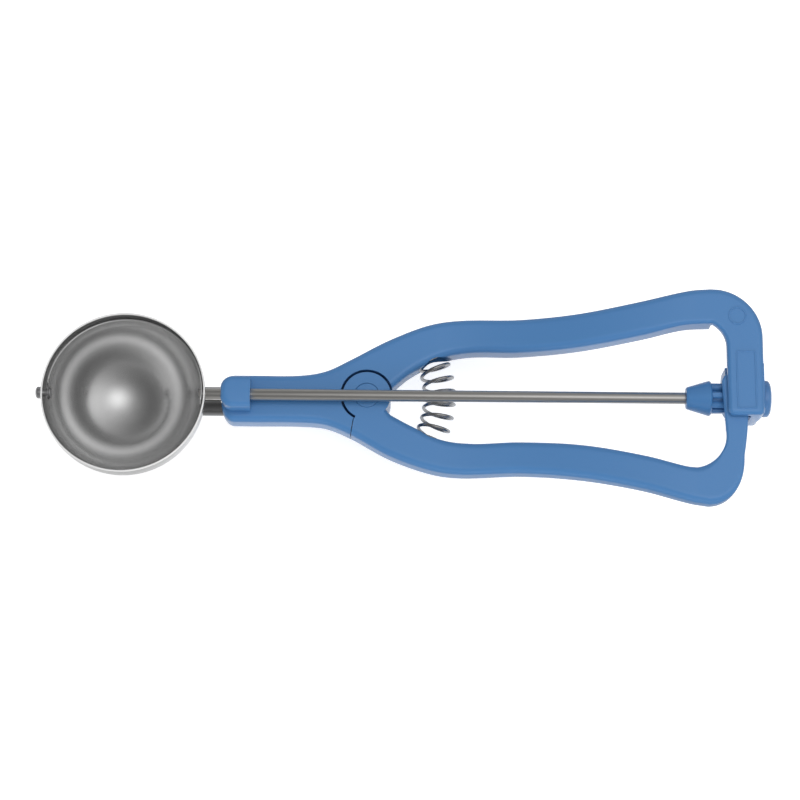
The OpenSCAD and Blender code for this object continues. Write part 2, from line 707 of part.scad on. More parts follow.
// Plain raised frame on the end plate and plain raised ring on its upper corner
ring_r = 3.1;
frame_w = 0.5;
frame_h = 0.2;
frame_in = 2.8;
frame_foot = 1.8;
frame_l = 20.4;
module frame_outline(grow) {
    r = 0.8;
    translate([plate_x + frame_in, -plate_drop + frame_foot]) offset(r = r + grow, $fn = 24)
        translate([r, r]) square([plate_w - 2 * frame_in - 2 * r, frame_l - 2 * r]);
}
module plate_frame() {
    translate([0, 0, plate_z - 0.5]) linear_extrude(0.5 + frame_h) {
        difference() {
            frame_outline(0);
            frame_outline(-frame_w);
        }
        translate([bend_x + 8.3, bend_in_y + 10.6]) difference() {
            circle(r = ring_r, $fn = 48);
            circle(r = ring_r - frame_w, $fn = 48);
        }
    }
}
module fixed_handle() color([0.33, 0.5, 0.72]) placed() {
    difference() {
        union() {
            difference() {
                skin([for (s = fixed_stations) ring(s)]);
                translate([0, 0, back_z - 1]) linear_extrude(handle_t + 2) lever_region(0);
            }
            pivot_cyl(hub_d / 2, back_z, mid_z - lap_gap / 2);
            boss();
            plate_frame();
            difference() {
                pinion_box();
                translate([plate_x - 1, -20, rack_tip - 0.6])
                    cube([wall_in - plate_x + 1, 50, plate_in - rack_tip + 0.6]);
                rod_cyl(tip_r + 0.4, plate_x - 1, wall_in);
            }
        }
        pivot_cyl(pocket_r, mid_z - lap_gap / 2, front_z + 1);
        pivot_cyl(pivot_d / 2, back_z - 1, mid_z);
        pivot_cyl(pivot_d / 2 + 2.2, back_z - 1, back_z + clip_sink);
        rod_cyl(stem_d / 2, neck_x - 1, neck_x + stem_grip, z = mid_z);
        stem_pin_bore(back_z - 1);
        rod_cyl(bush_d / 2, neck_x - 1, neck_x + bush_l);
        rod_cyl(rod_r + slide_gap, neck_x, neck_x + boss_l + 1);
        rod_cyl(bush_d / 2, wall_in - 1, end_x + 1);
        spring_pocket(spring_top, 1);
    }
}

// Stations of the lever: from the hub along the lower arm, round the corner and up the bar
// The bar's outer edge is an arc about the pivot; its inner edge leans towards the rod
lean = 0.06;
bend_y = lever_bend - lever_in_y;
function bar_out_x(y) = hub_x + sqrt(bar_out * bar_out - pow(y - pivot_y, 2));
function bar_line_x(y) = lever_in_x - lean * (y + 3);
function bar_in_x(y) = y > bend_y ? bar_line_x(y)
    : bar_line_x(bend_y) - lever_bend + sqrt(lever_bend * lever_bend - pow(y - bend_y, 2));
function bar_station(y, r, zb) =
    [[bar_in_x(y), y], [bar_out_x(y), y], zb, lever_rear[1], r, r, 0];
lever_stations = concat(
    [for (x = [-9, -6, -3, 0]) [[hub_x + x + 3, pivot_y], low_out(x), back_z, front_z, edge_r, edge_r, 0]],
    [for (i = [0 : 22])
        let (
            t = i / 22,
            xi = mix(arm_from, lower_in[8][0] - 1, t),
            xo = xi - 5 * pow(1 - t, 4),
            k = rise(hub_x + xi)
        )
        [low_in(xi), low_out(xo), mix(back_z, lever_rear[0], k), mix(front_z, lever_rear[1], k),
         edge_r, edge_r, 0]],
    [for (i = [0 : 7])
        let (
            t = i / 7,
            a = mix(-lever_turn, asin((shoulder_y - 0.3 - bend_y) / lever_bend), t),
            b = mix(88, 4, t),
            r = mix(edge_r, 1.1, smooth(t)),
            xi = bar_line_x(bend_y) - lever_bend,
            xo = bar_out_x(shoulder_y) - lever_wide
        )
        [[xi + lever_bend * cos(a), bend_y + lever_bend * sin(a)],
         [xo + lever_wide * pow(cos(b), lever_curl),
          shoulder_y - (corner_low + shoulder_y) * pow(sin(b), lever_curl)],
         lever_rear[0], lever_rear[1], r, r, 0]],
    [bar_station(shoulder_y, 0.9, lever_rear[0]), bar_station(shoulder_y + 0.05, 0.9, rack_root)],
    [for (y = [-18.6, -16.3, -12, -8, -4, 0]) bar_station(y, 0.9, rack_root)],
    [for (q = [[3.2, 0, 0], [1.6, 0.5, 0], [0.5, 1.2, 0.1], [0, 1.9, 0.3]])
        let (y = rack_top - q[0])
        [[bar_in_x(y) + q[1], y], [bar_out_x(y) - q[2], y], rack_root,
         lever_rear[1] - q[2], 0.7, 0.7, 0]]
);
// The lever keeps what lies below the rod from arm_x on, down to its reach
arm_x = hub_x + hub_d / 2 + 0.8;
reach = corner_low + corner_w;
function flipped(rings) = [for (r = rings) [for (i = [len(r) - 1 : -1 : 0]) r[i]]];
// Rack teeth, each on its own radius from the pivot, within the bar's inner edge
module rack_teeth_shape() {
    inset = 0.3;
    intersection() {
        rack_teeth_full();
        translate([0, 0, rack_tip - 1]) linear_extrude(bar_front - rack_tip) polygon([
            [bar_line_x(-reach) + inset, -reach], [end_x, -reach],
            [end_x, 2 * box_top], [bar_line_x(2 * box_top) + inset, 2 * box_top]
        ]);
    }
}
module rack_teeth_full() {
    slant = tan(press_angle);
    tip_half = rack_w / 2 - (pitch_r - rack_tip) * slant;
    root_half = rack_w / 2 + (rack_root + 0.2 - pitch_r) * slant;
    tooth_angle = asin(-pivot_y / rack_r);
    translate([hub_x, pivot_y, 0])
        for (i = [0 : rack_teeth - 1])
            rotate([0, 0, tooth_angle + (0.5 - i) * step_deg])
                translate([rack_r - rack_face / 2, 0, 0]) rotate([90, 0, 90])
                    linear_extrude(rack_face) polygon([
                        [-tip_half, rack_tip], [tip_half, rack_tip],
                        [root_half, rack_root + 0.2], [-root_half, rack_root + 0.2]
                    ]);
}
module lever() color([0.33, 0.5, 0.72]) placed() {
    difference() {
        union() {
            intersection() {
                skin(flipped([for (s = lever_stations) ring(s)]), [18, 7]);
                translate([0, 0, back_z - 5]) linear_extrude(50) union() {
                    lever_region(slide_gap);
                    translate([arm_x, -reach]) square([end_x - arm_x, reach]);
                    translate([rise_to, -1]) square([end_x - rise_to, rack_top + 2]);
                    translate([hub_x + part_foot[0] + 2.5, -reach])
                        square([arm_x - hub_x, reach + part_foot[1] + 1]);
                }
            }
            rack_teeth_shape();
            pivot_cyl(hub_d / 2, mid_z + lap_gap / 2, front_z);
        }
        pivot_cyl(pocket_r, back_z - 1, mid_z + lap_gap / 2);
        pivot_cyl(bush_r, mid_z, front_z + 1);
        pivot_cyl(pivot_head_d / 2 + 0.2, recess_z, front_z + 1);
        spring_pocket(spring_foot, -1);
    }
}

// Spring --------------------------------------------------------------------------

// The spring's axis is an arc that bows away from the pivot
arc_mid = [spring_x, 1.9];
spring_top = 29.5;
spring_foot = -31;
function on_arc(a, r = 0) =
    arc_mid + [(spring_bend_r + r) * cos(a) - spring_bend_r, (spring_bend_r + r) * sin(a)];
seat_gap = 0.12;
seat_turn = (wire_d / 2 + seat_gap) / spring_bend_r * 180 / PI;
module spring_pocket(a, side) {
    p = on_arc(a + side * seat_turn);
    translate([p[0], p[1], mid_z]) rotate([0, 0, a]) rotate([side * 90, 0, 0])
        cylinder(r = spring_d / 2 + wire_d / 2 + pocket_gap, h = spring_d + 2.5, $fn = fine);
}
module return_spring() color([0.6, 0.6, 0.6]) placed() {
    per_coil = 14;
    n = round(coils * per_coil);
    r = spring_d / 2;
    rings = [
        for (i = [0 : n])
            let (
                t = i / n,
                a = mix(spring_top, spring_foot, t),
                q = 180 + 360 * coils * t,
                p = on_arc(a, r * cos(q))
            )
            [for (j = [0 : 5])
                let (
                    c = wire_d / 2 * cos(60 * j),
                    s = wire_d / 2 * sin(60 * j),
                    o = on_arc(a, (r + c) * cos(q)) - p
                )
                [p[0] + o[0] - s * sin(a), p[1] + o[1] + s * cos(a), mid_z + (r + c) * sin(q)]]
    ];
    skin(rings, [0, 3]);
}

bowl();
stem();
stem_pin();
tip_rivet();
tip_washer();
rod_bush();
fixed_handle();
pivot_pin();
pivot_clip();
pivot_washer();
end_bush();
return_spring();
lever();
pivot_bush();
rod();
scraper();
pinion_sleeve();
sleeve_pin();
thrust_washer();
end_button();
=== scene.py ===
"""Lever ice cream scoop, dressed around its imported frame.

Every shape is worked out in millimetres in the rod's own frame: X runs along the rod from
the bowl's centre to the handle's end, Y across the two arms, Z out of the bowl's mouth.
place() turns those numbers into the shared frame in metres.
"""
import bpy
import numpy as np
from mathutils import Matrix, Vector


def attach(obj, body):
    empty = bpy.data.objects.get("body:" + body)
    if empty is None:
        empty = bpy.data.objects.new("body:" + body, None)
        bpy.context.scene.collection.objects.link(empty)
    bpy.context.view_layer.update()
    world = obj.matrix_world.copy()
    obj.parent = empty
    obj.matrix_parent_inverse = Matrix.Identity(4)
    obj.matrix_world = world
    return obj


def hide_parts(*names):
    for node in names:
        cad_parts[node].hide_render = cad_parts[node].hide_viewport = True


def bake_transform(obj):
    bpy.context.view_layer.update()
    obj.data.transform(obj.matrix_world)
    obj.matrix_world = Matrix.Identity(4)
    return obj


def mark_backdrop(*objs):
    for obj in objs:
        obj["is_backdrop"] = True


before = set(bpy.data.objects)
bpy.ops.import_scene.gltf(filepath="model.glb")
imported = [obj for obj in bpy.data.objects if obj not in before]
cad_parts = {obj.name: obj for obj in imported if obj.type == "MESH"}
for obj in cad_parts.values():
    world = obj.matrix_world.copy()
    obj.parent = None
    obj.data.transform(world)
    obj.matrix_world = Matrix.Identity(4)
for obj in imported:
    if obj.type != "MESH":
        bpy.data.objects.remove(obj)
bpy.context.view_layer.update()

# ---- Sizes in millimetres, and angles in degrees where not turned by np.radians ----
# Bowl, scraper blade and the rivet at the bowl's tip
BOWL_R, BOWL_WALL, BOWL_LIP, LIP_KNOT = 28.0, 0.6, 2.6, 1.1
BLADE_R, BLADE_T, BLADE_W, BLADE_SHIFT, BLADE_TAIL, BLADE_EDGE = 26.7, 0.5, 5.5, 0.4, 4.6, 0.12
BLADE_REST = 83.0
TIP_SHANK_R, TIP_HEAD_R, TIP_HEAD_T, TIP_WASHER_T, TIP_PLAY = 1.0, 2.05, 1.9, 0.4, 0.15
# Rod, with its riveted inner end, and stem, with the cross pin that holds it
ROD_R, ROD_END, EYE_R, RIVET_R, RIVET_T = 2.0, 219.66, 1.4, 1.7, 0.8
STEM_R, STEM_WALL, STEM_GRIP, STEM_PIN_X, STEM_PIN_R = 5.0, 1.2, 26.0, 45.2, 1.25
# Levels of the handle's front, back and middle, and the gap between its two hub discs
FRONT_Z, BACK_Z, MID_Z, LAP_GAP = -2.8, -16.4, -9.6, 0.6
# Neck with its round nose and the boss round the rod
NECK_X, NECK_W, NECK_LOW = 33.2, 16.1, 0.5
NOSE_X, NOSE_Y, NOSE_DROP, NOSE_FLAT = 4.4, 6.4, 1.1, 0.3
BOSS_W, BOSS_Y, BOSS_L, BOSS_TOP, BOSS_NOSE, BOSS_EDGE = 11.0, 0.4, 10.2, 4.0, 4.2, 2.0
BUSH_R, BUSH_L, ROD_PASS_R = 2.9, 8.2, 2.3
# Hub with its pivot pin; the arms part at CROTCH_X from the pivot
HUB_X, PIVOT_Y, HUB_R, POCKET_R, CROTCH_X = 83.0, 0.9, 8.2, 9.1, 8.3
PIN_R, PIN_SHORT, PIN_HEAD_R, PIN_HEAD_T, PIN_EDGE = 3.0, 0.4, 4.3, 2.0, 0.4
HEAD_POCKET_R, HEAD_POCKET_T, PIVOT_BUSH_R, CLIP_POCKET_R, CLIP_SINK = 4.36, 2.1, 3.9, 5.2, 1.3
# Arms: widest places, how far the section's rounding reaches, and where the rise starts and ends
WAIST_Y, WAIST_LOW, WAIST_W = 28.3, 26.4, 11.7
CORNER_Y, CORNER_LOW, CORNER_W = 36.5, 38.2, 12.5
EDGE_R, GRIP_BACK, GRIP_SHARE, ARM_LAG = 2.4, 7.0, 0.64, 5.0
RISE_FROM, RISE_TO = 107.4, 195.9
FIXED_REAR, LEVER_REAR = (-3.25, 10.25), (-4.15, 7.35)
# Fixed handle's corner, end plate, raised frame and ring, and the box round the pinion
BEND_X, BEND_OUT, BEND_IN, BEND_IN_X, BEND_IN_Y = 200.5, 17.0, 9.2, 195.9, 15.9
PLATE_X, WALL_IN, END_X, END_WALL = 205.1, 213.0, 217.5, 4.5
PLATE_IN, PLATE_Z, PLATE_T, PLATE_DROP, FOOT_EDGE = 7.65, 10.25, 2.6, 8.0, 2.0
FRAME_MARGIN, FRAME_LOW, FRAME_TOP, FRAME_EDGE = 2.8, -6.2, 14.2, 0.8
RING_X, RING_Y, RING_R = BEND_X + 8.3, BEND_IN_Y + 10.6, 3.1
BOX_TOP, BOX_BACK, BOX_DROP, BOX_EDGE, BOX_END_EDGE = 10.0, 10.0, 7.2, 5.0, 3.6
# Lever's corner, and the bar with its rack; the rack's pitch circle lies about the pivot
LEVER_IN_X, LEVER_IN_Y, LEVER_BEND, LEVER_WIDE, LEVER_CURL, LEAN = 203.8, 25.4, 11.0, 12.5, 0.9, 0.06
SHOULDER_Y, BEND_Y = -21.39, LEVER_BEND - LEVER_IN_Y
RACK_TIP, RACK_ROOT, RACK_TOP, RACK_R, RACK_HALF, RACK_TEETH = 3.75, 5.45, 7.0, 125.3, 4.1, 6
TOOTH_SINK = 0.2
BAR_OUT, BAR_EDGE, BAR_FOOT_EDGE = 129.4, 0.9, 1.1
BAR_END, BAR_END_EDGE, BAR_END_CURL, BAR_END_DROP = 3.2, 0.7, 1.9, 0.3
# Pinion sleeve with the pin that locks it on the rod, and end button
PITCH_R, TIP_R, TOOTH_W, TEETH, PRESSURE = 4.5, 5.2, 2.1, 8, np.radians(25)
FLANGE_X, CONE_L, CONE_R, FLANGE_R, GEAR_END, SLEEVE_PIN_R = 200.4, 8.6, 3.8, 6.05, 211.6, 0.8
BUTTON_R, BUTTON_T, BUTTON_CROWN, BUTTON_EDGE, BUTTON_DROP = 6.3, 3.1, 26.0, 1.0, 1.72
# Return spring: middle of its bent axis, coil and wire, its ends by angle on the bend, and
# the pockets it sits in
ARC_MID, SPRING_R, SPRING_BEND, WIRE_R, COILS = (108.0, 1.9), 5.2, 33.0, 0.6, 8.25
SPRING_TOP, SPRING_FOOT, SEAT_DEPTH, SEAT_GAP, SEAT_SINK = 29.5, -31.0, 12.9, 0.35, 0.12
# Clearances: sliding pieces, holes round a shank, pinion and rack in their box, teeth in mesh
SLIDE_GAP, BORE_GAP, BOX_GAP, RACK_GAP, MESH_GAP = 0.3, 0.05, 0.4, 0.6, 0.4
# Where the bowl's centre lies in the shared frame
FRAME_SHIFT = (-95.5, 0.0, 28.0)


def place(points):
    """Rod frame in millimetres to the shared frame in metres."""
    return (np.asarray(points, float) + FRAME_SHIFT) / 1000.0


# ---- Meshes from whole arrays ----
def join(*columns):
    """Coordinates side by side as points; a single number serves for all of them."""
    return np.stack(np.broadcast_arrays(*columns), -1)


def full_turn(steps):
    return np.linspace(0, 2 * np.pi, steps, endpoint=False)


def link(obj):
    bpy.context.scene.collection.objects.link(obj)
    return obj


def grid_quads(rows, cols, wrap_rows=False, wrap_cols=False):
    """Quads between each point of a rows x cols grid and its next row and next column."""
    r = np.arange(rows if wrap_rows else rows - 1)[:, None]
    c = np.arange(cols if wrap_cols else cols - 1)[None, :]
    here, right = r * cols + c, r * cols + (c + 1) % cols
    down, across = (r + 1) % rows * cols + c, (r + 1) % rows * cols + (c + 1) % cols
    return join(here, right, across, down).reshape(-1, 4)


def solid(name, points, quads, caps=(), soften=35.0):
    """Closed shell as an object. Its faces are turned outwards by the sign of its volume,
    the sum of the corner products of the fan triangles."""
    points = np.asarray(points, float).reshape(-1, 3)
    faces = quads.tolist() + [list(map(int, c)) for c in caps]
    volume = 0.0
    for ring in [quads] + [np.array([c]) for c in caps]:
        p = points[ring]
        for k in range(1, p.shape[1] - 1):
            volume += np.einsum("ij,ij->", p[:, 0], np.cross(p[:, k], p[:, k + 1]))
    if volume < 0:
        faces = [f[::-1] for f in faces]
    mesh = bpy.data.meshes.new(name)
    mesh.from_pydata(place(points).tolist(), [], faces)
    mesh.update()
    obj = link(bpy.data.objects.new(name, mesh))
    crisp(obj, soften)
    return obj


def crisp(obj, soften):
    """Smooth shading, kept sharp where two faces meet at more than soften degrees."""
    obj.data.shade_smooth()
    obj.data.set_sharp_from_angle(angle=np.radians(soften))


def tube(name, rings, soften=35.0):
    """Skin over an array of rings (stations x points x 3), closed by a face at each end."""
    m, n = rings.shape[:2]
    ends = [list(range(n))[::-1], list(range((m - 1) * n, m * n))]
    return solid(name, rings, grid_quads(m, n, wrap_cols=True), ends, soften)


def lathe(name, profile, axis="x", centre=(0.0, 0.0), steps=96, soften=35.0):
    """Profile of (place along the axis, radius) turned about the axis. A radius of zero at
    either end closes the pole with a fan of triangles; the axis passes through centre, and
    a ring profile whose last point meets its first closes on itself."""
    profile = np.asarray(profile, float)
    looped = np.allclose(profile[0], profile[-1])
    if looped:
        profile = profile[:-1]
    poles = [(not looped) and profile[k, 1] < 1e-9 for k in (0, -1)]
    body = profile[int(poles[0]): len(profile) - int(poles[1])]
    a = full_turn(steps)
    along, r = body[:, :1], body[:, 1:]
    u, v = centre[0] + r * np.cos(a), centre[1] + r * np.sin(a)
    points = join(along, u, v) if axis == "x" else join(u, v, along)
    m = len(body)
    points = points.reshape(-1, 3)
    quads = grid_quads(m, steps, wrap_rows=looped, wrap_cols=True)
    caps = []
    for is_pole, ring, end in ((poles[0], 0, 0), (poles[1], m - 1, -1)):
        ids = ring * steps + np.arange(steps)
        if is_pole:
            tip = [profile[end, 0], *centre] if axis == "x" else [*centre, profile[end, 0]]
            points = np.vstack([points, tip])
            k = len(points) - 1
            fan = join(ids, np.roll(ids, -1), k)
            caps += (fan if end else fan[:, ::-1]).tolist()
        elif not looped:
            caps.append(ids if end else ids[::-1])
    return solid(name, points, quads, caps, soften)


def prism(name, outline, low, high, axis="z", soften=35.0):
    """Flat outline carried straight along an axis. For axis x the outline is (y, z), for
    axis z it is (x, y)."""
    u, v = np.asarray(outline, float).T
    rings = [join(level, u, v) if axis == "x" else join(u, v, level) for level in (low, high)]
    return tube(name, np.array(rings), soften)


def carve(body, tool, operation="DIFFERENCE", soften=35.0):
    """Cuts a closed shell with another one, or joins the two, into one plain mesh."""
    step = body.modifiers.new("carve", "BOOLEAN")
    step.operation, step.solver, step.object = operation, "MANIFOLD", tool
    bpy.context.view_layer.update()
    shape = bpy.data.meshes.new_from_object(
        body.evaluated_get(bpy.context.evaluated_depsgraph_get()))
    body.modifiers.clear()
    old, body.data = body.data, shape
    shape.name = body.name
    bpy.data.meshes.remove(old)
    bpy.data.objects.remove(tool)
    crisp(body, soften)
    return body


def arc(centre, radius, start, end, steps):
    """Points on a circle from the start angle to the end angle, in degrees."""
    a = np.radians(np.linspace(start, end, steps + 1))
    return join(centre[0] + radius * np.cos(a), centre[1] + radius * np.sin(a))


# ---- Curves of the handle ----
def mix(a, b, t):
    return a + (b - a) * t


def ease(t):
    """Smooth step: 3t^2 - 2t^3 between 0 and 1."""
    t = np.clip(t, 0, 1)
    return t * t * (3 - 2 * t)


def curve(knots, x):
    """Smooth curve y(x) through knots: a cubic on each span whose end slopes are those of
    the line between the neighbours of each knot."""
    p, x = np.asarray(knots, float), np.asarray(x, float)
    last = len(p) - 1
    lo, hi = np.maximum(np.arange(last + 1) - 1, 0), np.minimum(np.arange(last + 1) + 1, last)
    slope = (p[hi, 1] - p[lo, 1]) / (p[hi, 0] - p[lo, 0])
    i = np.minimum(np.searchsorted(p[1:, 0], x), last - 1)
    w = p[i + 1, 0] - p[i, 0]
    t = np.clip((x - p[i, 0]) / w, 0, 1)
    return mix(p[i, 1], p[i + 1, 1], ease(t)) + w * t * (1 - t) * (slope[i] * (1 - t) - slope[i + 1] * t)


UPPER_OUT = [
    (-38, NECK_W / 2), (-23, NECK_W / 2 + 0.15), (-14, NECK_W / 2 + 1.8), (-5.5, NECK_W / 2 + 6),
    (7.5, WAIST_Y - 7.2), (21.5, WAIST_Y - 1.6), (33, WAIST_Y), (53, WAIST_Y - 0.4),
    (73, mix(WAIST_Y, CORNER_Y, 0.09)), (93, mix(WAIST_Y, CORNER_Y, 0.48)),
    (110, mix(WAIST_Y, CORNER_Y, 0.92)), (BEND_X - HUB_X, CORNER_Y)]
UPPER_INNER = WAIST_Y - WAIST_W
UPPER_IN = [
    (CROTCH_X, PIVOT_Y + 2.5), (14.8, UPPER_INNER - 7.6), (25.2, UPPER_INNER - 2), (36, UPPER_INNER),
    (52, UPPER_INNER - 0.5), (73, UPPER_INNER + 0.5), (94, mix(UPPER_INNER, CORNER_Y - CORNER_W, 0.5)),
    (108, mix(UPPER_INNER, CORNER_Y - CORNER_W, 0.92)), (118, CORNER_Y - CORNER_W)]
LOWER_OUT = [
    (-38, NECK_W / 2 + NECK_LOW), (-23, NECK_W / 2 + NECK_LOW), (-14, NECK_W / 2 + 0.8 + NECK_LOW),
    (-5.5, NECK_W / 2 + 4.2 + NECK_LOW), (7.5, WAIST_LOW - 6.5), (21.5, WAIST_LOW - 1.5),
    (32, WAIST_LOW), (53, WAIST_LOW - 0.1),
    (73, mix(WAIST_LOW, CORNER_LOW, 0.17)), (93, mix(WAIST_LOW, CORNER_LOW, 0.52)),
    (110, mix(WAIST_LOW, CORNER_LOW, 0.93)), (BEND_X - HUB_X, CORNER_LOW)]
LOWER_INNER = WAIST_LOW - WAIST_W
LOWER_IN = [
    (CROTCH_X, 5.7 - PIVOT_Y / 9), (14.8, LOWER_INNER - 5.6), (25.2, LOWER_INNER - 0.7),
    (36, LOWER_INNER + 0.8), (52, LOWER_INNER + 0.6), (73, LOWER_INNER + 2.2),
    (94, mix(LOWER_INNER, LEVER_IN_Y, 0.6)), (108, mix(LOWER_INNER, LEVER_IN_Y, 0.96)),
    (LEVER_IN_X - 8.5 - HUB_X, LEVER_IN_Y)]


def edge(knots, x, side=1):
    """Points of an arm's edge at x from the pivot; side -1 mirrors them to the lever's side."""
    return join(HUB_X + x, side * curve(knots, x))


def stations(inner, outer, back, front, r_in, r_out, share=0.0, cut=0.0):
    """Stations of an arm as rows of ten numbers: inner and outer point seen from the front,
    back and front level, rounding at the inner and outer edge, the share from 0, a full
    section, to 1, an angle section, and the cut-back of the wall of that angle."""
    inner = np.atleast_2d(inner)
    n = len(inner)
    rest = [np.broadcast_to(np.asarray(v, float), (n,)) for v in (back, front, r_in, r_out, share, cut)]
    return np.concatenate([inner, np.atleast_2d(outer), np.stack(rest, -1)], 1)


def arm_rings(rows, steps=9):
    """Rings of an arm. Each section is a rectangle between its inner and outer point with
    circular rounding in front and quarter ellipses at the back; towards share 1 its back
    inner corner moves in to leave a front layer and an outer wall, with a small fillet
    between them."""
    inner, outer = rows[:, 0:2], rows[:, 2:4]
    zb, zf, ri, ro, k, cut = (rows[:, j, None] for j in range(4, 10))
    d = outer - inner
    w = np.linalg.norm(d, axis=1, keepdims=True)
    u = d / w
    q = np.radians(np.linspace(0, 90, steps + 1))[None]
    wall = END_WALL - cut
    rib = np.maximum(w - wall, w / 3)
    room = np.minimum(zf - zb - np.maximum(ri, ro) - 0.05, mix(w / 2 - 0.3, wall - 0.4, k) / GRIP_SHARE)
    bz = np.minimum(GRIP_BACK, room)
    by = bz * GRIP_SHARE
    layer = mix(mix(zb + bz, zf - ri, 0.5), PLATE_IN, k)
    side = zf - ro - zb - bz

    def corner(cx, cz, ry, rz, start):
        a = np.radians(start) + q
        return cx + ry * np.cos(a), cz + rz * np.sin(a)

    full = corner(by, zb + bz, by, bz, 180)
    turn = np.radians(90) - q
    notch = rib - 1 + np.cos(turn), layer - 1 + np.sin(turn)
    parts = [(0 * w, layer), (mix(full[0], notch[0], k), mix(full[1], notch[1], k)),
             (mix(w / 2, rib, k), zb), (mix(w - by - 0.1, rib + 0.2, k), zb),
             corner(w - by, zb + bz, by, bz, 270), (w, zb + bz + 0.1 * side), (w, zf - ro - 0.1 * side),
             corner(w - ro, zf - ro, ro, ro, 0), (w - ro - 0.4, zf), (ri + 0.4, zf),
             corner(ri, zf - ri, ri, ri, 90), (0 * w, zf - ri - 0.3 * (zf - ri - layer))]
    across, level = (np.concatenate([np.broadcast_to(p[j], (len(rows), p[j].shape[1])) for p in parts], 1)
                     for j in (0, 1))
    spot = inner[:, None, :] + u[:, None, :] * across[..., None]
    return np.concatenate([spot, level[..., None]], -1)


def rise(x):
    return ease((x - RISE_FROM) / (RISE_TO - RISE_FROM))


def lever_region(gap):
    """Outline of the lever's share of the neck, seen from the front."""
    return np.array([(-6.5 + gap, -19), (-4.7 + gap, -7.7), (0, PIVOT_Y), (CROTCH_X, PIVOT_Y + 2.9 - gap),
                     (9.5, -2), (14, -28)]) + (HUB_X, 0)


def pivot_bore(radius, low, high):
    return lathe("tool", [(low, 0), (low, radius), (high, radius), (high, 0)], "z", (HUB_X, PIVOT_Y))


def rod_bore(radius, low, high, z=0.0):
    return lathe("tool", [(low, 0), (low, radius), (high, radius), (high, 0)], "x", (0, z))


def cross_bore(x, radius, low, high):
    """Upright round hole of 48 sides that crosses the rod's axis at x."""
    return prism("tool", arc((x, 0), radius, 7.5, 360, 47), low, high)


def stem_pin_bore():
    return cross_bore(STEM_PIN_X, STEM_PIN_R, BACK_Z - 1, FRONT_Z - 2)


def on_arc(a, out=0.0):
    """Point on the spring's bent axis at angle a, moved outwards from the bend's centre."""
    a = np.radians(a)
    return join(ARC_MID[0] + (SPRING_BEND + out) * np.cos(a) - SPRING_BEND,
                ARC_MID[1] + (SPRING_BEND + out) * np.sin(a))


def spring_seat(a, side):
    """Round pocket for one end of the spring, along the tangent of its axis."""
    turn = np.degrees((WIRE_R + SEAT_SINK) / SPRING_BEND)
    foot = on_arc(a + side * turn)
    direction = side * np.array([np.sin(np.radians(a)), -np.cos(np.radians(a))])
    normal = np.array([-direction[1], direction[0]])
    t = full_turn(72)
    r = SPRING_R + WIRE_R + SEAT_GAP
    ring = foot + normal * (r * np.cos(t))[:, None]
    low = join(*ring.T, MID_Z + r * np.sin(t))
    high = low + np.append(direction * SEAT_DEPTH, 0)
    return tube("tool", np.stack([low, high]))


# ---- Fixed handle: neck, hub half, upper arm, corner and end housing ----
def fixed_rows():
    """Stations from the round nose over the neck and upper arm to the end plate's foot."""
    a = np.radians(np.linspace(0, 90, 9))
    h, x = NECK_W / 2 - NOSE_Y * (1 - np.sin(a)), NECK_X + NOSE_X * (1 - np.cos(a))
    drop, r = NOSE_DROP * (1 - np.sin(a)), np.minimum(EDGE_R, h - NOSE_FLAT)
    nose = stations(join(x, -h - NECK_LOW), join(x, h), BACK_Z + drop, FRONT_Z - drop, r, r)
    x = np.concatenate([np.linspace(-45, -24, 12), np.linspace(-22, 2, 25)])
    neck = stations(edge(LOWER_OUT, x, -1), edge(UPPER_OUT, x), BACK_Z, FRONT_Z, EDGE_R, EDGE_R)
    t = np.linspace(0, 1, 89)
    xi = mix(CROTCH_X, BEND_IN_X + BEND_IN / 2 - 0.5 - HUB_X, t)
    k = rise(HUB_X + xi)
    arm = stations(edge(UPPER_IN, xi), edge(UPPER_OUT, xi - ARM_LAG * (1 - t) ** 4),
                   mix(BACK_Z, FIXED_REAR[0], k), mix(FRONT_Z, FIXED_REAR[1], k),
                   mix(EDGE_R, PLATE_T / 2, ease((t - 0.7) / 0.3)), EDGE_R)
    ease_in = stations([BEND_IN_X + BEND_IN / 2 - 0.4, CORNER_Y - CORNER_W],
                       arc((BEND_X, CORNER_Y - BEND_OUT), BEND_OUT, 83, 83, 0),
                       *FIXED_REAR, PLATE_T / 2, EDGE_R)
    t = np.linspace(0, 1, 33)
    corner = stations(arc((BEND_IN_X, BEND_IN_Y), BEND_IN, 60, 0, 32),
                      arc((BEND_X, CORNER_Y - BEND_OUT), BEND_OUT, 82, 0, 32),
                      *FIXED_REAR, PLATE_T / 2, mix(EDGE_R, FOOT_EDGE, t), 1)
    y = np.array([13.0, BOX_TOP, 5.0, 0.0, -4.0])
    wall = stations(join(PLATE_X, y), join(END_X, y), *FIXED_REAR, PLATE_T / 2, FOOT_EDGE, 1)
    a = np.radians(np.linspace(0, 90, 9))
    c, y = FOOT_EDGE * (1 - np.cos(a)), -PLATE_DROP + FOOT_EDGE * (1 - np.sin(a))
    foot = stations(join(PLATE_X + c, y), join(END_X - c, y), FIXED_REAR[0],
                    FIXED_REAR[1] - c / 2, PLATE_T / 2 - c / 4, FOOT_EDGE - c / 4, 1, c)
    return np.concatenate([nose, neck, arm, ease_in, corner, wall, foot])


